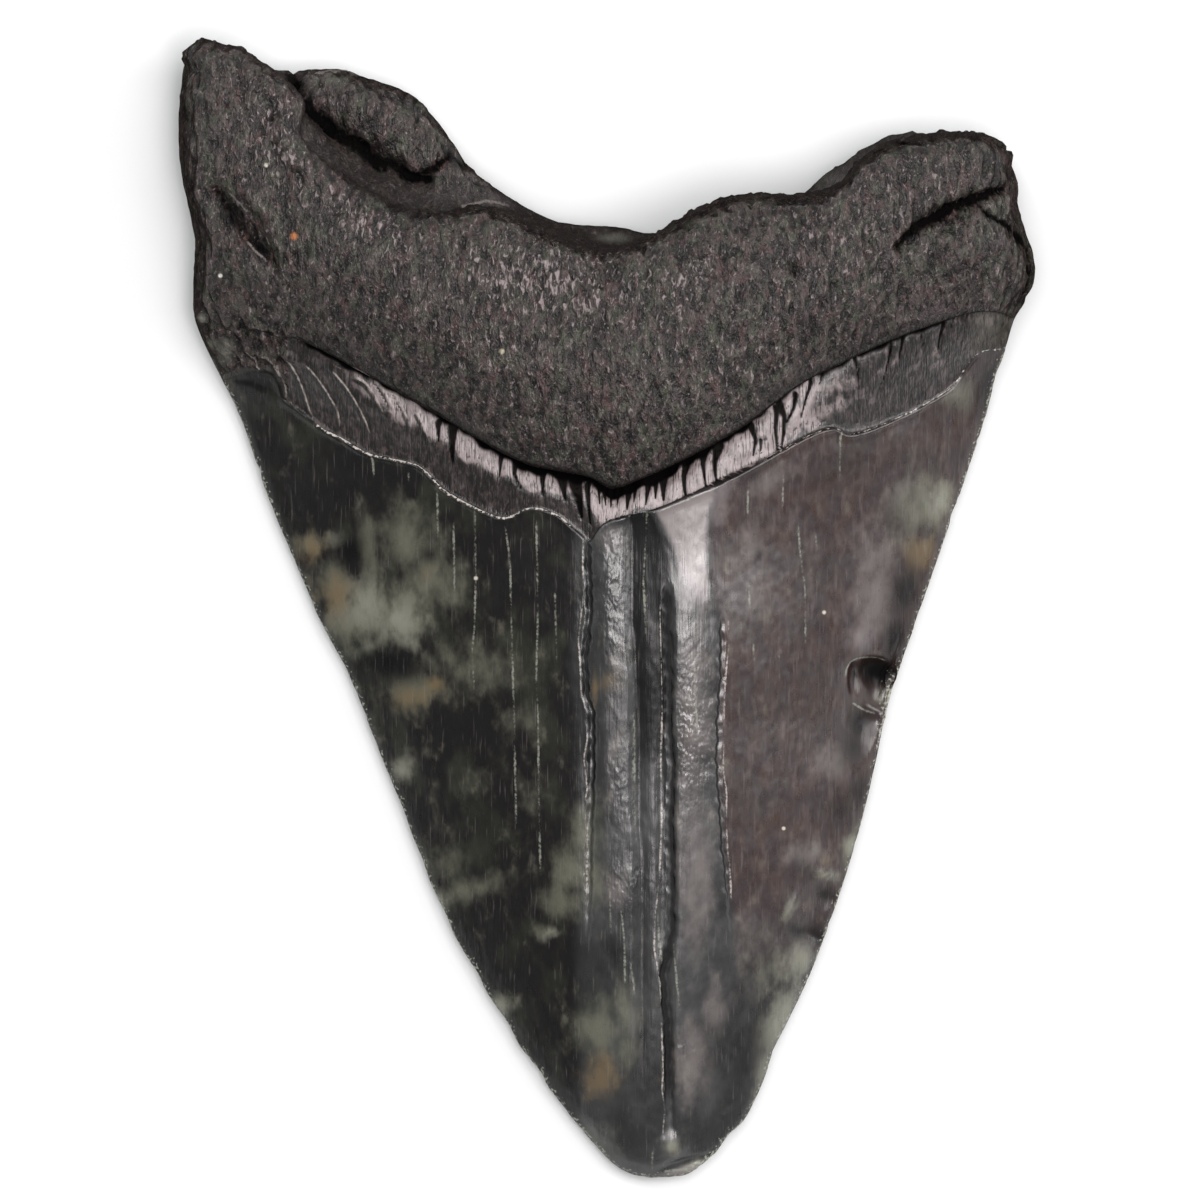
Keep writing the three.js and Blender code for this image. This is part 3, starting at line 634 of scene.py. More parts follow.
nicks = np.clip(lumps((1.6, 1.1, 9), 11.0) - 0.1, 0, 1)
edge_nicks = np.where(y < 24, NICK_DEPTH * nicks * (1 - smooth(inside, 0, 0.6)), 0)
places -= normals * np.array([1, 1, 0]) * edge_nicks[:, None]
places += normals * (lift * off_rim)[:, None]
places = np.clip(places, np.array(cad_low) / MM, np.array(cad_high) / MM)
tooth.data.vertices.foreach_set("co", (places * MM).ravel())
tooth.data.update()
upward = values(tooth.data.vertex_normals, "vector", 3)[:, 2]
steep = 1 - smooth(upward, 0.3, 0.75)
print("lift, mm:", round(float(lift.min()), 2), "to", round(float(lift.max()), 2))

# %% [markdown]
# Colour needs places too. River water stained this enamel black, and the stain faded to olive,
# tan and pale grey in clouds. Some clouds are painted light and shade instead: the haze is partly
# a painted sheen, the glint clouds on the root are painted highlights, two pale ones at the tip
# are a painted highlight and some dark ones are painted shade in chips, crevices and the dent.
# Each cloud is a soft oval, stored on the vertices by kind, and the materials break its edge up
# with noise. The mesh also stores what the sculpting knows: how near the groove, a crack or the
# enamel's edge is, which slab gets a painted highlight and which painted shade, and how much
# sheen each place gets, which is less where shade is painted, on steep faces and on the left
# flank.

# %% Clouds of colour and other amounts, stored on the vertices
# Each oval is given as for the chips, with its strength in place of the height
CLOUDS = {}
CLOUDS["olive"] = [
    (-22.5, 7.4, 4.2, 4.2, 0.85), (-26.4, 6.3, 1.9, 4.4, 0.75), (-19.7, 3, 3.9, 4.2, 0.85),
    (-23, -0.3, 4.8, 4.2, 0.95), (-16.9, 1.9, 2.4, 3, 0.7), (-33, 6.9, 2.2, 1.4, 0.9),
    (-30.3, 2.4, 2.2, 3.4, 20, 0.95), (-28.6, -1.5, 3, 3.2, 0.9), (-15.2, -6.4, 7.5, 3.6, 0.62),
    (-20.8, -9.4, 4.8, 2.3, 10, 0.85), (-21.9, 11.3, 1.1, 1, 0.6), (-9.1, -12.6, 3, 3, 0.5),
    (-2.5, -24.8, 2.2, 3.6, 0.85), (-3.6, -29.2, 2.6, 3, 0.95), (-5.2, -32.8, 2.6, 2.4, 0.85),
    (-1.9, -30.3, 1.8, 3.2, 0.85), (-6.9, -35.9, 2, 1, 0.7), (-15.8, -31.4, 5.5, 1.7, 12, 0.8),
    (-18.6, -28.6, 4, 3.2, 0.55), (-16, -19, 6, 3, 15, 0.3), (-8.5, -22, 3.5, 4.5, 0.35),
    (-0.8, -47, 2.8, 3.2, 0.95), (2, -44.8, 1.6, 3.2, 0.9), (-1.9, -43.7, 1.8, 1.6, 0.55),
    (2, -49.4, 1.7, 2.2, 0.75), (-0.8, -59.4, 2.8, 2.4, 0.55), (34.6, 11, 3.6, 4.8, -15, 0.85),
    (39.2, 23.6, 1.7, 1.8, 0.95), (18.1, -39.8, 3.2, 2.8, 0.6), (31, -9.9, 1.5, 1.6, 0.75),
    (27.2, -26, 1.1, 3, -14, 0.8), (-10, -6.5, 3, 2, 0.3),
]
CLOUDS["tan"] = [
    (-32.8, 6.6, 2, 1.7, 0.8), (-30.2, 1.6, 1.8, 2.4, 20, 0.9), (-19.1, -8.6, 1.3, 1, 1),
    (-21.4, -10, 3.2, 1.3, 8, 0.8), (-20.2, 3.6, 1, 1, 0.5), (-0.8, -52, 2.1, 2.5, 1),
    (-1.4, -54.2, 1.6, 1.3, 0.6), (34.8, 6, 1.8, 2.4, -15, 1), (0, -8.3, 1.2, 1.2, 0.75),
    (-1.4, -8.8, 0.4, 1.8, 0.9), (-17.2, 18.5, 0.5, 2.4, 5, 0.6), (24.2, -28.1, 1.6, 1, 0.35),
    (-40.2, 41, 0.5, 0.5, 0.5),
]
# Pale stains; the two ovals at the tip, at (7.1, -59.9) and (9.6, -62.2), are a painted highlight
# on its worn facets
CLOUDS["pale"] = [
    (-26.9, 0.2, 2.8, 3, 0.8), (-23.4, -1.6, 3, 2.6, -20, 0.85), (-22, -4, 1.8, 1.2, -30, 0.7),
    (-26.4, -4.4, 2.4, 1.2, 10, 0.7), (-30.2, 7.4, 2.2, 1.3, 0.5), (-22.5, -17.9, 1.8, 2, 0.8),
    (-11.9, -44.2, 1.6, 1.4, -30, 0.85), (-6, -36.2, 1.4, 0.7, 0.7), (-18.4, -32.6, 1.3, 1, 0.6),
    (37, 11.9, 1.3, 1.8, -15, 0.95), (20.2, -33.6, 0.7, 2.2, -25, 0.8),
    (24.7, -29.8, 2.2, 0.6, -5, 0.8), (22.5, -27, 2.4, 1.2, 0.3), (27, -26.4, 0.9, 1.2, 0.8),
    (21.4, -39.2, 2, 2.6, -25, 0.7), (19.2, -45.9, 1.8, 4.5, -25, 0.9),
    (17.3, -51.6, 1.2, 3.8, -12, 0.8), (8.7, -51.5, 1, 2.2, 0.35), (7.1, -59.9, 0.9, 0.8, 0.9),
    (9.6, -62.2, 2.8, 0.7, 22, 0.95), (-42.4, 28.4, 1.4, 2.2, 0.8), (-45, 32, 0.7, 0.7, 0.9),
    (-44, 29.3, 0.6, 0.9, 0.7), (0.9, 41, 2.8, 0.8, 0.7), (-31, 58.6, 3, 0.9, -3, 0.5),
]
# Paler haze: on the root the stone's own tone, on the crown's slabs and right flank partly a
# painted sheen
CLOUDS["haze"] = [
    (30, 5, 3.2, 4.6, 0.8), (29.6, 1, 2.7, 3.4, 0.95), (33, 13, 3, 3.6, 0.6),
    (24.8, -17, 2.6, 2.8, 0.75), (22, -27.5, 3, 1.6, 0.8), (17, -37, 4, 5, 0.5),
    (16, 5, 1.6, 8, 0.5), (18, 14, 5.5, 1.4, 25, 0.6), (9.3, -50.5, 2.2, 5, 0.9),
    (12, -44.5, 2, 4, 0.8), (9.6, -12, 2.2, 16, 0.8), (9.8, -30, 2.3, 10, 0.85),
    (0.6, -16, 1.9, 14, 0.35), (36.5, 33.4, 8, 2.6, 18, 0.9), (1.2, -31.5, 1.8, 2.4, 0.8),
]
# Painted highlight: where the root faces the light its bump tops get pinkish glints painted on
CLOUDS["pink"] = [
    (-8, 36.5, 11, 4.5, -8, 1), (8.5, 36.5, 4, 4, 0.6), (-36.5, 52, 3.2, 6.5, 20, 0.9),
    (-27, 43, 7, 2, -35, 0.9), (-39, 43, 4.5, 3, -45, 0.5), (-15, 30, 12, 5, -20, 0.45),
    (26, 40, 8, 5, 20, 0.4), (12, 27, 9, 6, 25, 0.35), (36, 47.5, 5, 3, 0.45),
    (-20, 46, 4, 1.2, -10, 0.5),
]
# Dark stains, and painted shade in the crown's chips, the root's dent, crevices and ledge gap, and
# the band's right side face
CLOUDS["dark"] = [
    (-28.6, 6.3, 1.8, 2.2, 1), (-24.4, -6.2, 3.8, 1.9, -12, 1), (-19.8, 5.8, 1.2, 1.1, 0.7),
    (33.1, 1.9, 1.9, 3.6, -12, 0.9), (32, -3.6, 1.7, 3.4, -12, 0.9),
    (30.1, -7.3, 2.3, 1.4, -12, 1), (27.4, -7.4, 0.45, 1.3, 0.9), (28.1, -13.1, 1.5, 2.2, 1),
    (27.2, -15.6, 1.8, 2.6, 0.8), (28.1, -20.5, 1.5, 2.2, 0.7), (25.9, -22.6, 2, 2.8, 0.6),
    (20.9, -35.9, 1.7, 1, -20, 1), (23.3, -36.6, 1.7, 1, -30, 1), (24.2, -32, 1.8, 1.1, -25, 0.85),
    (14.8, -50, 3.4, 5.5, 0.75), (1, -38.5, 2.6, 2.8, 0.8), (4.4, -50, 1.9, 5.5, 0.6),
    (42.5, 25, 1.8, 5, -15, 0.9), (25, 15.5, 5, 2.6, 20, 0.45), (-41.8, 43.6, 2.6, 1.5, -55, 1),
    (-16.9, 49.5, 1.7, 1, -40, 0.9), (36.3, 43.3, 3.4, 0.6, 34, 1),
    (41.2, 45.6, 2.8, 0.5, 18, 0.9), (-38.4, 39.4, 2, 1.1, -55, 0.95),
    (-38.5, 25.2, 3.4, 1.6, -15, 0.9),
]
CLOUDS["crinkle"] = [
    (-0.2, 2, 2.2, 9, 0.7), (9.2, -13.5, 2.4, 7, 0.9), (1.4, -31, 4.5, 2.6, 0.45),
    (9, -49.5, 2.2, 1.2, 0.4), (1.2, -20, 2, 6, 0.3),
]


def store(name, amounts):
    layer = tooth.data.attributes.new(name, "FLOAT", "POINT")
    layer.data.foreach_set("value", np.asarray(amounts, np.float32))


CLOUD_EDGE = 0.8
# Where the painted glow spills over onto the flank and the tip: its firmness, an oval and its
# strength
SPILL = [
    (1, 12.8, 13.2, 2.4, 1.2, 28, 0.6), (1.6, 12.4, 10.3, 1.4, 1.9, 0.45),
    (1.5, 0.4, 7.6, 1.7, 2, 0.45), (1.2, 8.2, -9.9, 0.8, 1.3, 25, 0.4),
    (1, 9.4, -14.4, 1.2, 2, 20, 0.4), (1.2, 8.4, -19.2, 0.8, 1, 0.4),
    (0.8, 28.3, -3.4, 2.3, 1.7, 20, 0.6), (0.8, 29.8, 1.8, 1.9, 3, -8, 0.3),
    (1, 8.8, -62.5, 3, 0.35, 12, 0.9),
]

cloud = {}
for kind, ovals in CLOUDS.items():
    amount = np.zeros(len(x))
    for *oval, strength in ovals:
        amount = np.maximum(amount, strength * dab(CLOUD_EDGE, *oval))
    cloud[kind] = np.where(front, amount, 0)
    store(kind, cloud[kind])

lit_band = np.where(band, level_share * (1 - smooth(from_lip, level_width - 0.9, level_width)), 0)
lip_shadow = smooth(from_lip, -1.6, -0.1) * (1 - smooth(from_lip, 0.1, 0.3)) * groove_run
# The slab between the middle and the right crack gets a painted highlight, a glow from a slanting
# foot upwards
foot_of_glow = np.interp(x, [7.4, 8, 10, 11.5], [6, 3.6, 1.2, 0.6])
glow = smooth(x - crack_middle, -0.1, 1) * (1 - smooth(x - crack_right, -0.3, 0.3))
glow = glow * smooth(y - foot_of_glow, -2.8, 2.6)
spill = sum(strength * dab(*oval) for *oval, strength in SPILL)
left_slab = smooth(x - crack_left, 0.3, 0.9) * (1 - smooth(x - between, -1.2, -0.2))
left_slab = left_slab * smooth(y, -3, 0.5)
milky = np.maximum(np.maximum(glow, spill), 0.14 * left_slab)
shade = smooth(x - between, 0, 0.5) * (1 - smooth(x - crack_middle, -0.6, 0.1))
shade = np.where(crown, shade * smooth(y, -24, -12) * (1 - smooth(y, 10.5, 12)), 0)
# Painted shade: the chip's hollow is darkened and loses its sheen
chip_shade = 0.95 * dab(2, 30.1, -7.2, 2.5, 1.5, -12)

dull_flank = np.where(crown, 0.6 * (1 - smooth(x - crack_left, -2, 0.2)), 0)
in_groove = 1 - smooth(from_lip / groove_width, 0.8, 1.5) * smooth(crack, 0.7, 1.6)
in_groove = np.where(band, in_groove, 0) * groove_run
dark_share = np.where(crown, cloud["dark"], 0)
rolled_away = np.where(band, smooth(-x, 4, 12) * (1 - lit_band), 0)
dimmer = (1 - 0.65 * shade) * (1 - 0.6 * dark_share) * (1 - 0.18 * left_slab)
dimmer = dimmer * smooth(fold, 0.8, 1.5) * (1 - 0.4 * rolled_away)

for name, amounts in {
    "lip_shadow": lip_shadow, "groove": from_lip / groove_width + 3 * (1 - groove_run),
    "lit_band": lit_band, "from_enamel": from_enamel, "hidden": hidden, "crack": crack,
    "fold": fold + 4 * (1 - smooth(upward, 0.1, 0.3)),
    "bumps": bumps + 0.6 * np.minimum(pits, PIT_TOP),
    "hair_a": hair_a, "firm_a": firm_a, "hair_b": hair_b, "firm_b": firm_b,
    "rim_gap": rim_gap, "rim_firm": rim_firm, "light_gap": light_gap, "light_firm": light_firm,
    "open_gap": open_gap, "open_firm": open_firm, "rim": inside, "steep": steep,
    "right_flank": smooth(x - crack_right, -0.2, 1.2) * (1 - 0.75 * smooth(-y, 28, 46)),
    "left_flank": 1 - smooth(x - crack_left, -3, 0.2),
    "milky": np.where(crown, milky, 0), "shade": np.maximum(shade, chip_shade),
    "sheen": (1 - steep) * (1 - dull_flank) * dimmer * (1 - in_groove) * (1 - chip_shade),
    "bright_edge": smooth(x, -34, -31.5) - smooth(x, -5, -2) * (1 - 0.72 * smooth(x, 15, 18)),
    "shoulder": np.where(front, smooth(-x, 34.3, 36.6) + smooth(x, 39, 41.5), 0),
}.items():
    store(name, amounts)
print("attributes:", len(tooth.data.attributes))

# %% [markdown]
# Every material below starts from what the real surface is. A few small helpers serve them all.
# One turns a colour as seen on a screen into the linear values that Blender works in. One adds
# a node with its settings, values and links. One lays tints over a colour as a painter glazes:
# where a guide is low the colour below shows, and where it is high the tint covers it. The
# others start a material with its guides, draw thin lines and dots, and join all to the shader.
# A guide is an amount stored on the vertices, a noise pattern, or a product of the two.

# %% Colour and node helpers


def linear(hex_colour):
    """sRGB hex such as "#4a3f38" as linear RGBA."""
    parts = [int(hex_colour[k:k + 2], 16) / 255 for k in (1, 3, 5)]
    return [c / 12.92 if c < 0.04045 else ((c + 0.055) / 1.055) ** 2.4 for c in parts] + [1]


def add(tree, kind, links=None, amounts=None, out=0, **settings):
    """Adds a node with its settings, the values of its inputs and its links. Gives one output."""
    node = tree.nodes.new("ShaderNode" + kind)
    for name, value in settings.items():
        setattr(node, name, value)
    for key, value in (amounts or {}).items():
        node.inputs[key].default_value = value
    for key, output in (links or {}).items():
        tree.links.new(output, node.inputs[key])
    return node.outputs[out]


def glaze(tree, colour, guides, layers):
    """Covers a colour with tints: by nothing where a guide is start, by most where it is end."""
    for name, start, end, tint, most in layers:
        amount = add(tree, "MapRange", {"Value": guides[name]},
                     {"From Min": start, "From Max": end, "To Max": most},
                     interpolation_type="SMOOTHSTEP")
        colour = add(tree, "Mix", {0: amount, 6: colour}, {7: linear(tint)}, out=2,
                     data_type="RGBA")
    return colour


def begin(name, ior, ground, stored, patterns, products, **noise_amounts):
    """A new material: its tree, its shader, places in millimetres, ground colour and guides."""
    material = bpy.data.materials.new(name)
    material.use_nodes = True
    tree = material.node_tree
    shader = tree.nodes["Principled BSDF"]
    shader.inputs["IOR"].default_value = ior
    place = add(tree, "VectorMath", {0: add(tree, "TexCoord", out="Object")},
                {"Scale": 1 / MM}, operation="SCALE")
    colour = add(tree, "RGB")
    colour.default_value = linear(ground)
    guides = {key: add(tree, "Attribute", out="Fac", attribute_name=key)
              for key in stored.split()}
    for key, sizes, detail in patterns:
        scaled = add(tree, "VectorMath", {0: place}, {1: sizes}, operation="DIVIDE")
        guides[key] = add(tree, "TexNoise", {"Vector": scaled},
                          {"Scale": 1, "Detail": detail, **noise_amounts})
    # A product is one guide, times a guide or a number, plus a guide or a number
    for key, first, *others in products:
        links, amounts = {0: guides[first]}, {}
        for socket, value in enumerate(others, 1):
            (links if value in guides else amounts)[socket] = guides.get(value, value)
        guides[key] = add(tree, "Math", links, amounts, operation="MULTIPLY_ADD")
    return material, tree, shader, place, colour, guides


def drawn(tree, offset, half, *shares):
    """Mask of a thin line: 1 where the stored distance is near zero, times each of the shares."""
    gap = add(tree, "Math", {0: offset}, operation="ABSOLUTE")
    line = add(tree, "MapRange", {"Value": gap},
               {"From Min": half, "From Max": 0.25 * half})
    for share in shares:
        line = add(tree, "Math", {0: line, 1: share}, operation="MULTIPLY")
    return line


def dotted(tree, colour, place, most, dots):
    """Covers a colour with small round dots, each given by its place, its size and its tint."""
    flat = add(tree, "VectorMath", {0: place}, {1: (1, 1, 0)}, operation="MULTIPLY")
    for dot_x, dot_y, size, tint in dots:
        away = add(tree, "VectorMath", {0: flat}, {1: (dot_x, dot_y, 0)}, out="Value",
                   operation="DISTANCE")
        colour = glaze(tree, colour, {"away": away}, [("away", size, 0.3 * size, tint, most)])
    return colour


def join(tree, shader, colour, rough, sheen, most_sheen, height, strength, distance):
    """Links colour, roughness, sheen and the bumps of a height, in millimetres, to the shader."""
    level = add(tree, "Math", {0: sheen}, {1: most_sheen}, operation="MULTIPLY")
    bump = add(tree, "Bump", {"Height": height},
               {"Strength": strength, "Distance": distance * MM})
    for key, output in {"Base Color": colour, "Roughness": rough, "Specular IOR Level": level,
                        "Normal": bump}.items():
        tree.links.new(output, shader.inputs[key])


# %% [markdown]
# The root is petrified dentine: hard, dark and porous, so it scatters light from a dull surface
# and only the tops of its bumps glint, pinkish grey. Where the root faces the light these glints
# are also painted into its colour as a painted highlight, and the pits between the bumps are
# painted darker, partly as shade. Mineral grains left a few pale dots. The pores of real dentine
# are about 0.1 mm wide, too fine for the picture, so they are drawn about twice as coarse. Steep
# faces and the wall behind the front edge are painted darker as shade and lose their sheen, and
# the creases and the root's edge above the groove are painted dark as shade.

# %% Petrified dentine of the root
dentine, tree, shader, place, colour, guides = begin(
    "petrified_dentine", 1.5, "#1d1a19",
    "bumps lip_shadow hidden fold tan pale dark pink haze rim steep sheen light_gap light_firm",
    [("slow", (5, 6, 5), 2), ("mossy", (1.7, 2.4, 2), 3), ("rusty", (1.3, 2, 1.6), 3),
     ("fibre", (0.44, 1.05, 0.8), 3), ("pore", (0.24, 0.42, 0.3), 1),
     ("grain", (0.3, 0.46, 0.4), 2)],
    [("bright", "pink", 0.16, "fibre"), ("crease", "rusty", 2.2, "fold"),
     ("height", "pore", 0.5, "fibre")],
    Distortion=0.7)
guides["line"] = drawn(tree, guides["light_gap"], 0.2, guides["light_firm"], guides["grain"])
colour = glaze(tree, colour, guides, [
    ("slow", 0.38, 0.66, "#302b29", 1),
    ("mossy", 0.46, 0.62, "#34382c", 0.75),
    ("rusty", 0.5, 0.68, "#3d2b2a", 0.75),
    # Bump tops lighter, partly as a painted glint, and pits darker, partly as painted shade
    ("bumps", 0, 0.5, "#403837", 0.58),
    ("bumps", -0.05, -0.42, "#0b0909", 0.8),
    ("haze", 0.2, 0.9, "#413838", 0.6),
    ("fibre", 0.54, 0.68, "#5b5252", 0.4),
    ("fibre", 0.47, 0.36, "#080707", 0.9),
    ("grain", 0.6, 0.74, "#857a78", 0.5),
    ("grain", 0.42, 0.3, "#0b0a09", 0.6),
    # Painted highlight: pinkish glints on the bumps where the root faces the light
    ("bright", 0.65, 0.8, "#837979", 0.8),
    ("lip_shadow", 0, 1, "#100d0c", 0.65),
    # Painted shade: steep faces are darker
    ("steep", 0.5, 1, "#23201f", 0.45),
    # Painted shade on the wall behind the front edge
    ("hidden", 0.1, 0.9, "#282423", 0.6),
    # Painted shade: the creases and folds are nearly black
    ("crease", 2.3, 1.6, "#050505", 0.95),
    ("rim", 1, 0.2, "#23211e", 0.3),
    ("tan", 0.3, 0.8, "#80603f", 0.8),
    ("pale", 0.2, 0.9, "#6c6c64", 0.6),
    ("dark", 0.2, 0.8, "#080707", 0.9),
    # Painted highlights along the root's lit rims
    ("line", 0.1, 0.5, "#77706d", 0.7),
])
colour = dotted(tree, colour, place, 0.85, [
    (-37.9, 49.1, 0.34, "#b0aca0"), (-43, 36.8, 0.34, "#cbc8c0"),
    (-11.7, 28.4, 0.42, "#a39b86"), (-34.8, 41.2, 0.6, "#9a6038")])
worn = add(tree, "MapRange", {"Value": guides["rim"]},
           {"From Min": 0.2, "From Max": 2, "To Min": 0.85, "To Max": 0.45})
rough = add(tree, "Math", {0: guides["steep"], 1: worn}, operation="MAXIMUM")
join(tree, shader, colour, rough, guides["sheen"], 0.32, guides["height"], 1, 0.42)
print("nodes of the root's material:", len(tree.nodes))

# %% [markdown]
# Under the root's lip the outer enamel is gone and a dense dark layer shows. It is smoother than
# the root and duller than the enamel, and fine fibres run down it, so it gets a satin finish
# with thin streaks. Where it lies level under the lip it catches the light, and that highlight
# is painted pale into its colour. The groove under the lip and the cracks are painted black, as
# shade.

# %% Satin band between root and enamel
satin, tree, shader, place, colour, guides = begin(
    "bare_dark_layer", 1.55, "#171514",
    "groove lit_band crack tan pale dark shoulder sheen light_gap light_firm",
    [("cloud", (1.3, 1.6, 1.6), 3), ("fibre", (0.2, 2.2, 1), 2), ("grit", (0.4, 0.8, 0.7), 3)],
    [("painted_lit_level", "cloud", 2, "lit_band"), ("height", "grit", 1, "fibre")],
    Distortion=0.3)
# A light ridge of the fan is a painted highlight, and the dark furrow beside it painted shade
BESIDE = 0.42
beside = add(tree, "Math", {0: guides["light_gap"]}, {1: BESIDE}, operation="ADD")
guides["line"] = drawn(tree, guides["light_gap"], 0.19, guides["light_firm"], guides["grit"])
guides["furrow_shade"] = drawn(tree, beside, 0.34, guides["light_firm"])
colour = glaze(tree, colour, guides, [
    ("cloud", 0.4, 0.65, "#2b2726", 1),
    ("grit", 0.5, 0.7, "#453a39", 0.6),
    # Painted highlight: where the band lies level under the lip it is lit, so its colour is pale
    # there
    ("painted_lit_level", 1.2, 2.05, "#837979", 0.95),
    ("shoulder", 0.2, 1, "#3a3831", 0.6),
    ("fibre", 0.55, 0.72, "#5d5554", 0.4),
    ("fibre", 0.46, 0.34, "#121010", 0.85),
    ("grit", 0.43, 0.3, "#121010", 0.8),
    ("tan", 0.3, 0.8, "#3c3a30", 0.6),
    ("pale", 0.2, 0.9, "#6c6f65", 0.7),
    ("dark", 0.2, 0.8, "#0c0b0b", 0.85),
    # Painted highlights on the fan's ridges and the lit rim, and painted shade in the furrows
    # beside them
    ("line", 0.16, 0.52, "#958e89", 0.85),
    ("furrow_shade", 0.1, 0.7, "#0b0a0a", 0.85),
    # Painted shade: the groove under the lip and the cracks are black
    ("groove", 1.25, 0.9, "#050404", 1),
    ("crack", 1.3, 0.8, "#070606", 0.97),
])
shaded = add(tree, "MapRange", {"Value": guides["groove"]},
             {"From Min": 1.3, "From Max": 0.9, "To Min": 0.34, "To Max": 0.95})
rough = add(tree, "Math", {0: guides["shoulder"]}, {1: 0.7}, operation="MULTIPLY")
rough = add(tree, "Math", {0: shaded, 1: rough}, operation="MAXIMUM")
join(tree, shader, colour, rough, guides["sheen"], 0.5, guides["height"], 0.7, 0.16)
print("nodes of the band's material:", len(tree.nodes))

# %% [markdown]
# Fossil enamel is mineral apatite, polished by the jaw and then by sand: glassy, with an index
# of refraction near 1.63, black to purple-brown where it is stained and olive where the stain
# left. Fine scratches run along the tooth. They are a few hundredths of a millimetre wide in
# life and are drawn about 0.2 mm wide, so that they show.

# %% Stained enamel of the crown
enamel, tree, shader, place, colour, guides = begin(
    "stained_enamel", 1.63, "#1d1e1e",
    "left_flank right_flank shade olive pale tan dark haze rim milky crinkle bright_edge "
    "from_enamel hair_a firm_a hair_b firm_b rim_gap rim_firm open_gap open_firm light_gap "
    "light_firm sheen",
    [("slow", (5, 8, 6), 3), ("drift", (1.8, 3.2, 2.8), 3), ("mottle", (1.2, 1.9, 1.6), 4),
     ("soft", (1.3, 2.2, 1.8), 1), ("scratch", (0.22, 4.4, 1.6), 2),
     ("dust", (0.35, 0.35, 0.35), 1), ("streak", (0.7, 4, 3), 4), ("wrinkle", (1.1, 1.9, 1.3), 2)],
    [("browner", "right_flank", "drift", 0), ("streaky", "right_flank", "streak", 0),
     ("greyer", "right_flank", "slow", 0), ("greener", "left_flank", "slow", 0),
     ("haze_and_sheen_cloud", "drift", 1.2, "haze"), ("olive_cloud", "drift", 1.2, "olive"),
     ("pale_cloud", "drift", 1.2, "pale"), ("tan_cloud", "drift", 1.2, "tan"),
     ("stain_and_shade_cloud", "drift", 1.2, "dark"), ("painted_glow_mix", "mottle", 0.35, "milky"),
     ("edge_wear", "dust", -3.4, "rim"), ("rippled", "wrinkle", "crinkle", 0),
     ("ripples", "rippled", 3.2, 0), ("scratched", "scratch", 0.15, "ripples"),
     ("height", "soft", 0.5, "scratched")],
    Roughness=0.58)
for name, gap, firm, half in (
        ("line_a", "hair_a", "firm_a", 0.25), ("line_b", "hair_b", "firm_b", 0.25),
        ("rims", "rim_gap", "rim_firm", 0.2), ("lights", "light_gap", "light_firm", 0.22)):
    guides[name] = drawn(tree, guides[gap], half, guides[firm], guides["dust"])
guides["open"] = drawn(tree, guides["open_gap"], 0.28, guides["open_firm"])
# The enamel's edge is a dark line with a broken row of light beads on both its sides
guides["edge"] = add(tree, "Math", {0: guides["from_enamel"]}, operation="ABSOLUTE")
wide = add(tree, "Math", {0: guides["edge"]}, {1: 2.4}, operation="MULTIPLY")
beads = add(tree, "Math", {0: guides["dust"], 2: wide}, {1: -1.5},
            operation="MULTIPLY_ADD")
guides["beads"] = add(tree, "Math", {0: beads, 1: guides["bright_edge"]},
                      operation="MULTIPLY")
colour = glaze(tree, colour, guides, [
    ("slow", 0.38, 0.66, "#2f3030", 1),
    ("left_flank", 0.1, 0.9, "#121111", 1),
    ("right_flank", 0.1, 0.9, "#281f1f", 1),
    ("browner", 0.42, 0.64, "#35251f", 0.7),
    ("streaky", 0.5, 0.7, "#433938", 0.7),
    ("greyer", 0.46, 0.64, "#262423", 0.3),
    ("greener", 0.48, 0.72, "#24261f", 0.9),
    # Partly painted sheen on the slabs and the right flank
    ("haze_and_sheen_cloud", 0.7, 1.6, "#5b5655", 0.9),
    ("olive_cloud", 0.7, 1.6, "#55564b", 0.9),
    ("pale_cloud", 0.7, 1.6, "#737469", 0.85),
    ("tan_cloud", 0.7, 1.6, "#5f513a", 0.75),
    # Dark stains and painted shade in chips, crevices and the dent
    ("stain_and_shade_cloud", 0.7, 1.6, "#0d0d0e", 0.92),
    ("shade", 0, 1, "#0e0e0e", 0.9),
    # Painted highlight: the glow of the slab beside the right crack and where it spills
    ("painted_glow_mix", 0.25, 1.15, "#6f6969", 1),
    ("edge_wear", -1.35, -1.75, "#85877c", 0.85),
    ("scratch", 0.6, 0.75, "#8a8480", 0.12),
    ("line_a", 0.18, 0.58, "#74766d", 0.85),
    ("line_b", 0.18, 0.58, "#74766d", 0.85),
    ("rims", 0.18, 0.58, "#9a9490", 0.85),
    # Painted highlights along the chip's rim, the tip and other lit edges
    ("lights", 0.12, 0.55, "#777b72", 0.75),
    # Painted shade inside the open cracks
    ("open", 0, 1, "#060505", 1),
    ("edge", 0.25, 0.1, "#0c0a0a", 0.85),
    ("beads", -0.44, -0.72, "#a39d97", 0.95),
])
colour = dotted(tree, colour, place, 0.8, [
    (19.6, -24.6, 0.3, "#b9b4a8"), (24.1, -0.6, 0.3, "#b9b4a8"), (-14.6, 3.2, 0.32, "#b9b4a8")])
rough = add(tree, "MapRange", {"Value": guides["mottle"]},
            {"From Min": 0.35, "From Max": 0.7, "To Min": 0.26, "To Max": 0.38})
rough = add(tree, "Math", {0: rough, 1: guides["open"]}, operation="ADD")
join(tree, shader, colour, rough, guides["sheen"], 0.5, guides["height"], 0.8, 0.24)
print("nodes of the crown's material:", len(tree.nodes))

# %% [markdown]
# A real tooth wears its layers side by side, so every face takes one of the three materials. A
# face belongs to the root if all its corners lie above the lip, to the crown if one lies below
# the enamel's edge, and to the band otherwise. The left shoulder counts as root.

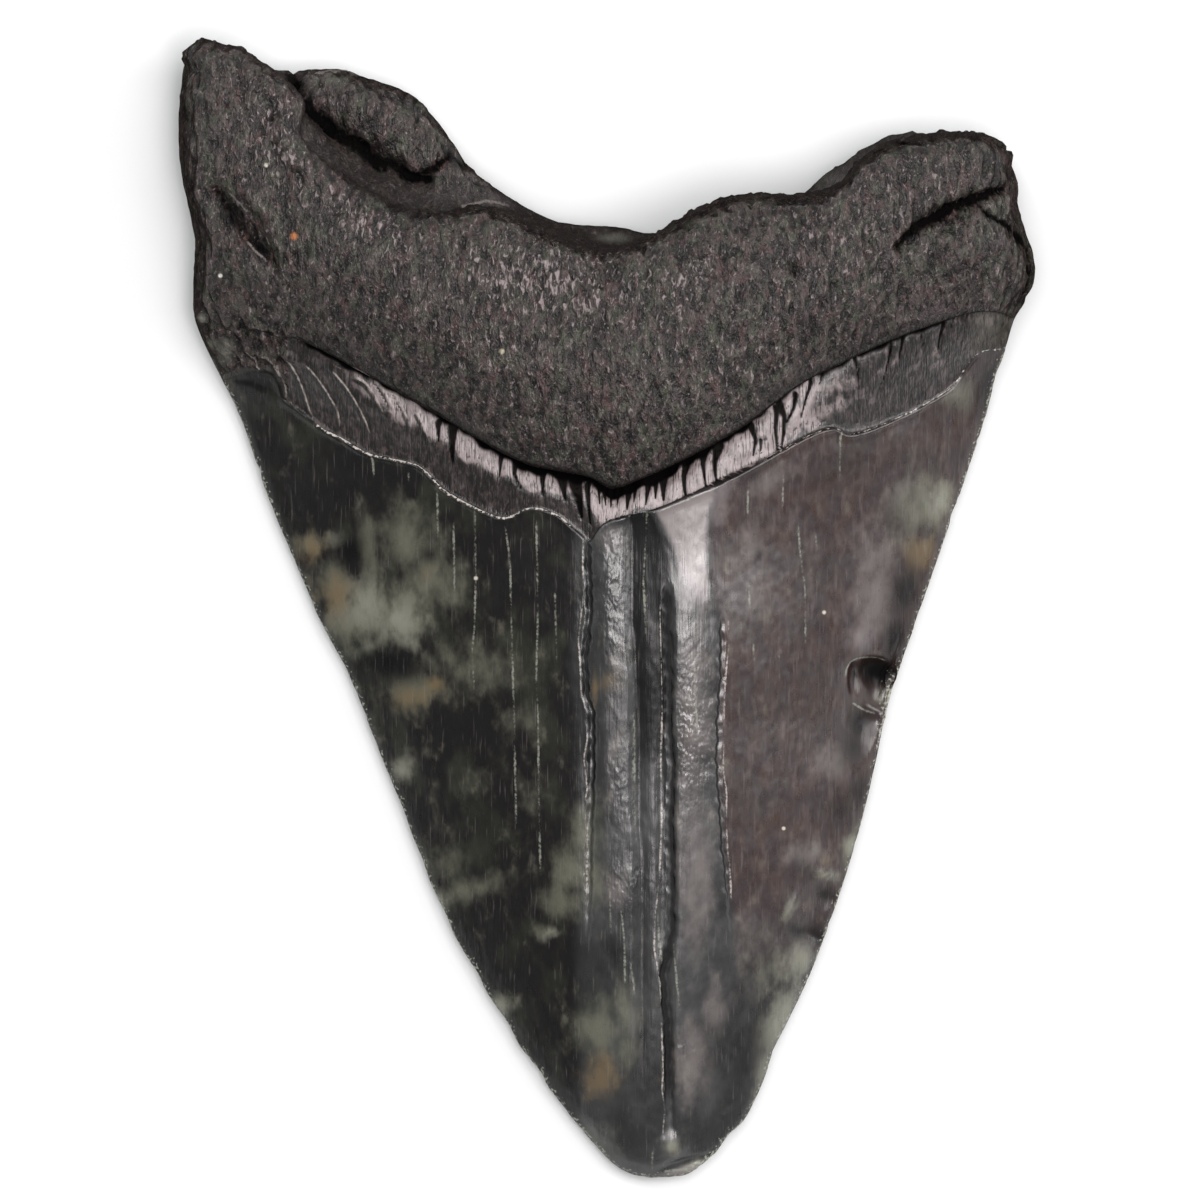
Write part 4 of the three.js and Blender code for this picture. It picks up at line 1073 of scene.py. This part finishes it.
# %% Each face gets the material of the layer that it shows
for material in (dentine, satin, enamel):
    tooth.data.materials.append(material)
first_corner = values(tooth.data.polygons, "loop_start", kind=int)
lip_of_face = np.maximum.reduceat(from_lip[loop_vertex], first_corner)
enamel_of_face = np.minimum.reduceat(from_enamel[loop_vertex], first_corner)
layer_of_face = np.where(lip_of_face <= 0.02, 0, np.where(enamel_of_face < -0.02, 2, 1))
on_shoulder = np.minimum.reduceat(left_shoulder[loop_vertex], first_corner) > 0.4
layer_of_face[on_shoulder] = 0
tooth.data.polygons.foreach_set("material_index", layer_of_face.astype(np.int32))
bpy.ops.object.shade_smooth()
print("faces of root, band and enamel:", [int((layer_of_face == k).sum()) for k in range(3)])

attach(tooth, "root")
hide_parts(CAD_NODE)

# %% [markdown]
# A collector photographs a dark tooth on white paper under soft boxes. The paper is bright
# enough to turn plain white. One box hangs almost overhead and lights every face that looks
# straight up, and a small one in front of it adds a crisper glint. A large faint one stands to
# the right, so the right flank shines softly and the left one stays black. The last stands
# behind on the left and opens up the shadows a little.

# %% Paper, lights and camera
PHOTO_PX = 1200
PX_PER_MM = 9.0
ORIGIN_PX = (607.25, 607)  # where the tooth's own origin lies in the photo, right and down
CAMERA_HEIGHT = 1.2
FLOOR_SIZE = 6

bpy.ops.object.select_all(action="DESELECT")
bpy.ops.mesh.primitive_plane_add(size=FLOOR_SIZE, location=(0, 0, 0))
floor = bpy.context.view_layer.objects.active
floor.name = "floor"
paper = bpy.data.materials.new("white_paper")
paper.use_nodes = True
for key, value in {"Base Color": (0.61, 0.63, 0.63, 1), "Roughness": 0.95,
                   "Specular IOR Level": 0.2}.items():
    paper.node_tree.nodes["Principled BSDF"].inputs[key].default_value = value
floor.data.materials.append(paper)

camera_data = bpy.data.cameras.new("camera")
camera_data.type = "ORTHO"
camera_data.ortho_scale = PHOTO_PX / PX_PER_MM * MM
camera = bpy.data.objects.new("camera", camera_data)
camera.location = ((PHOTO_PX / 2 - ORIGIN_PX[0]) / PX_PER_MM * MM,
                   (ORIGIN_PX[1] - PHOTO_PX / 2) / PX_PER_MM * MM, CAMERA_HEIGHT)
bpy.context.scene.collection.objects.link(camera)
bpy.context.scene.camera = camera

# Each soft box: its name, its place, the length of its sides, its power and its colour
for name, spot, side, power, tint in (
        ("overhead", (0.16, 0.12, 1.3), 1.0, 20, (1, 0.96, 0.96)),
        ("front_box", (0.2, -0.17, 1.3), 0.32, 4, (1, 0.93, 0.93)),
        ("right_wall", (1.3, 0.2, 0.85), 0.9, 14, (1, 0.97, 0.97)),
        ("back_wall", (-0.9, 0.9, 0.9), 0.7, 10, (1, 1, 1))):
    data = bpy.data.lights.new(name, "AREA")
    data.shape = "RECTANGLE"
    data.size = data.size_y = side
    data.energy = power
    data.color = tint
    box = bpy.data.objects.new(name, data)
    box.location = spot
    aim = Vector((0, 0, 0.01)) - Vector(spot)
    box.rotation_euler = aim.to_track_quat("-Z", "Y").to_euler()
    bpy.context.scene.collection.objects.link(box)
world = bpy.data.worlds.new("studio")
world.use_nodes = True
world.node_tree.nodes["Background"].inputs["Color"].default_value = (1, 1, 1, 1)
world.node_tree.nodes["Background"].inputs["Strength"].default_value = 0.25
bpy.context.scene.world = world
bpy.context.scene.view_settings.view_transform = "Standard"
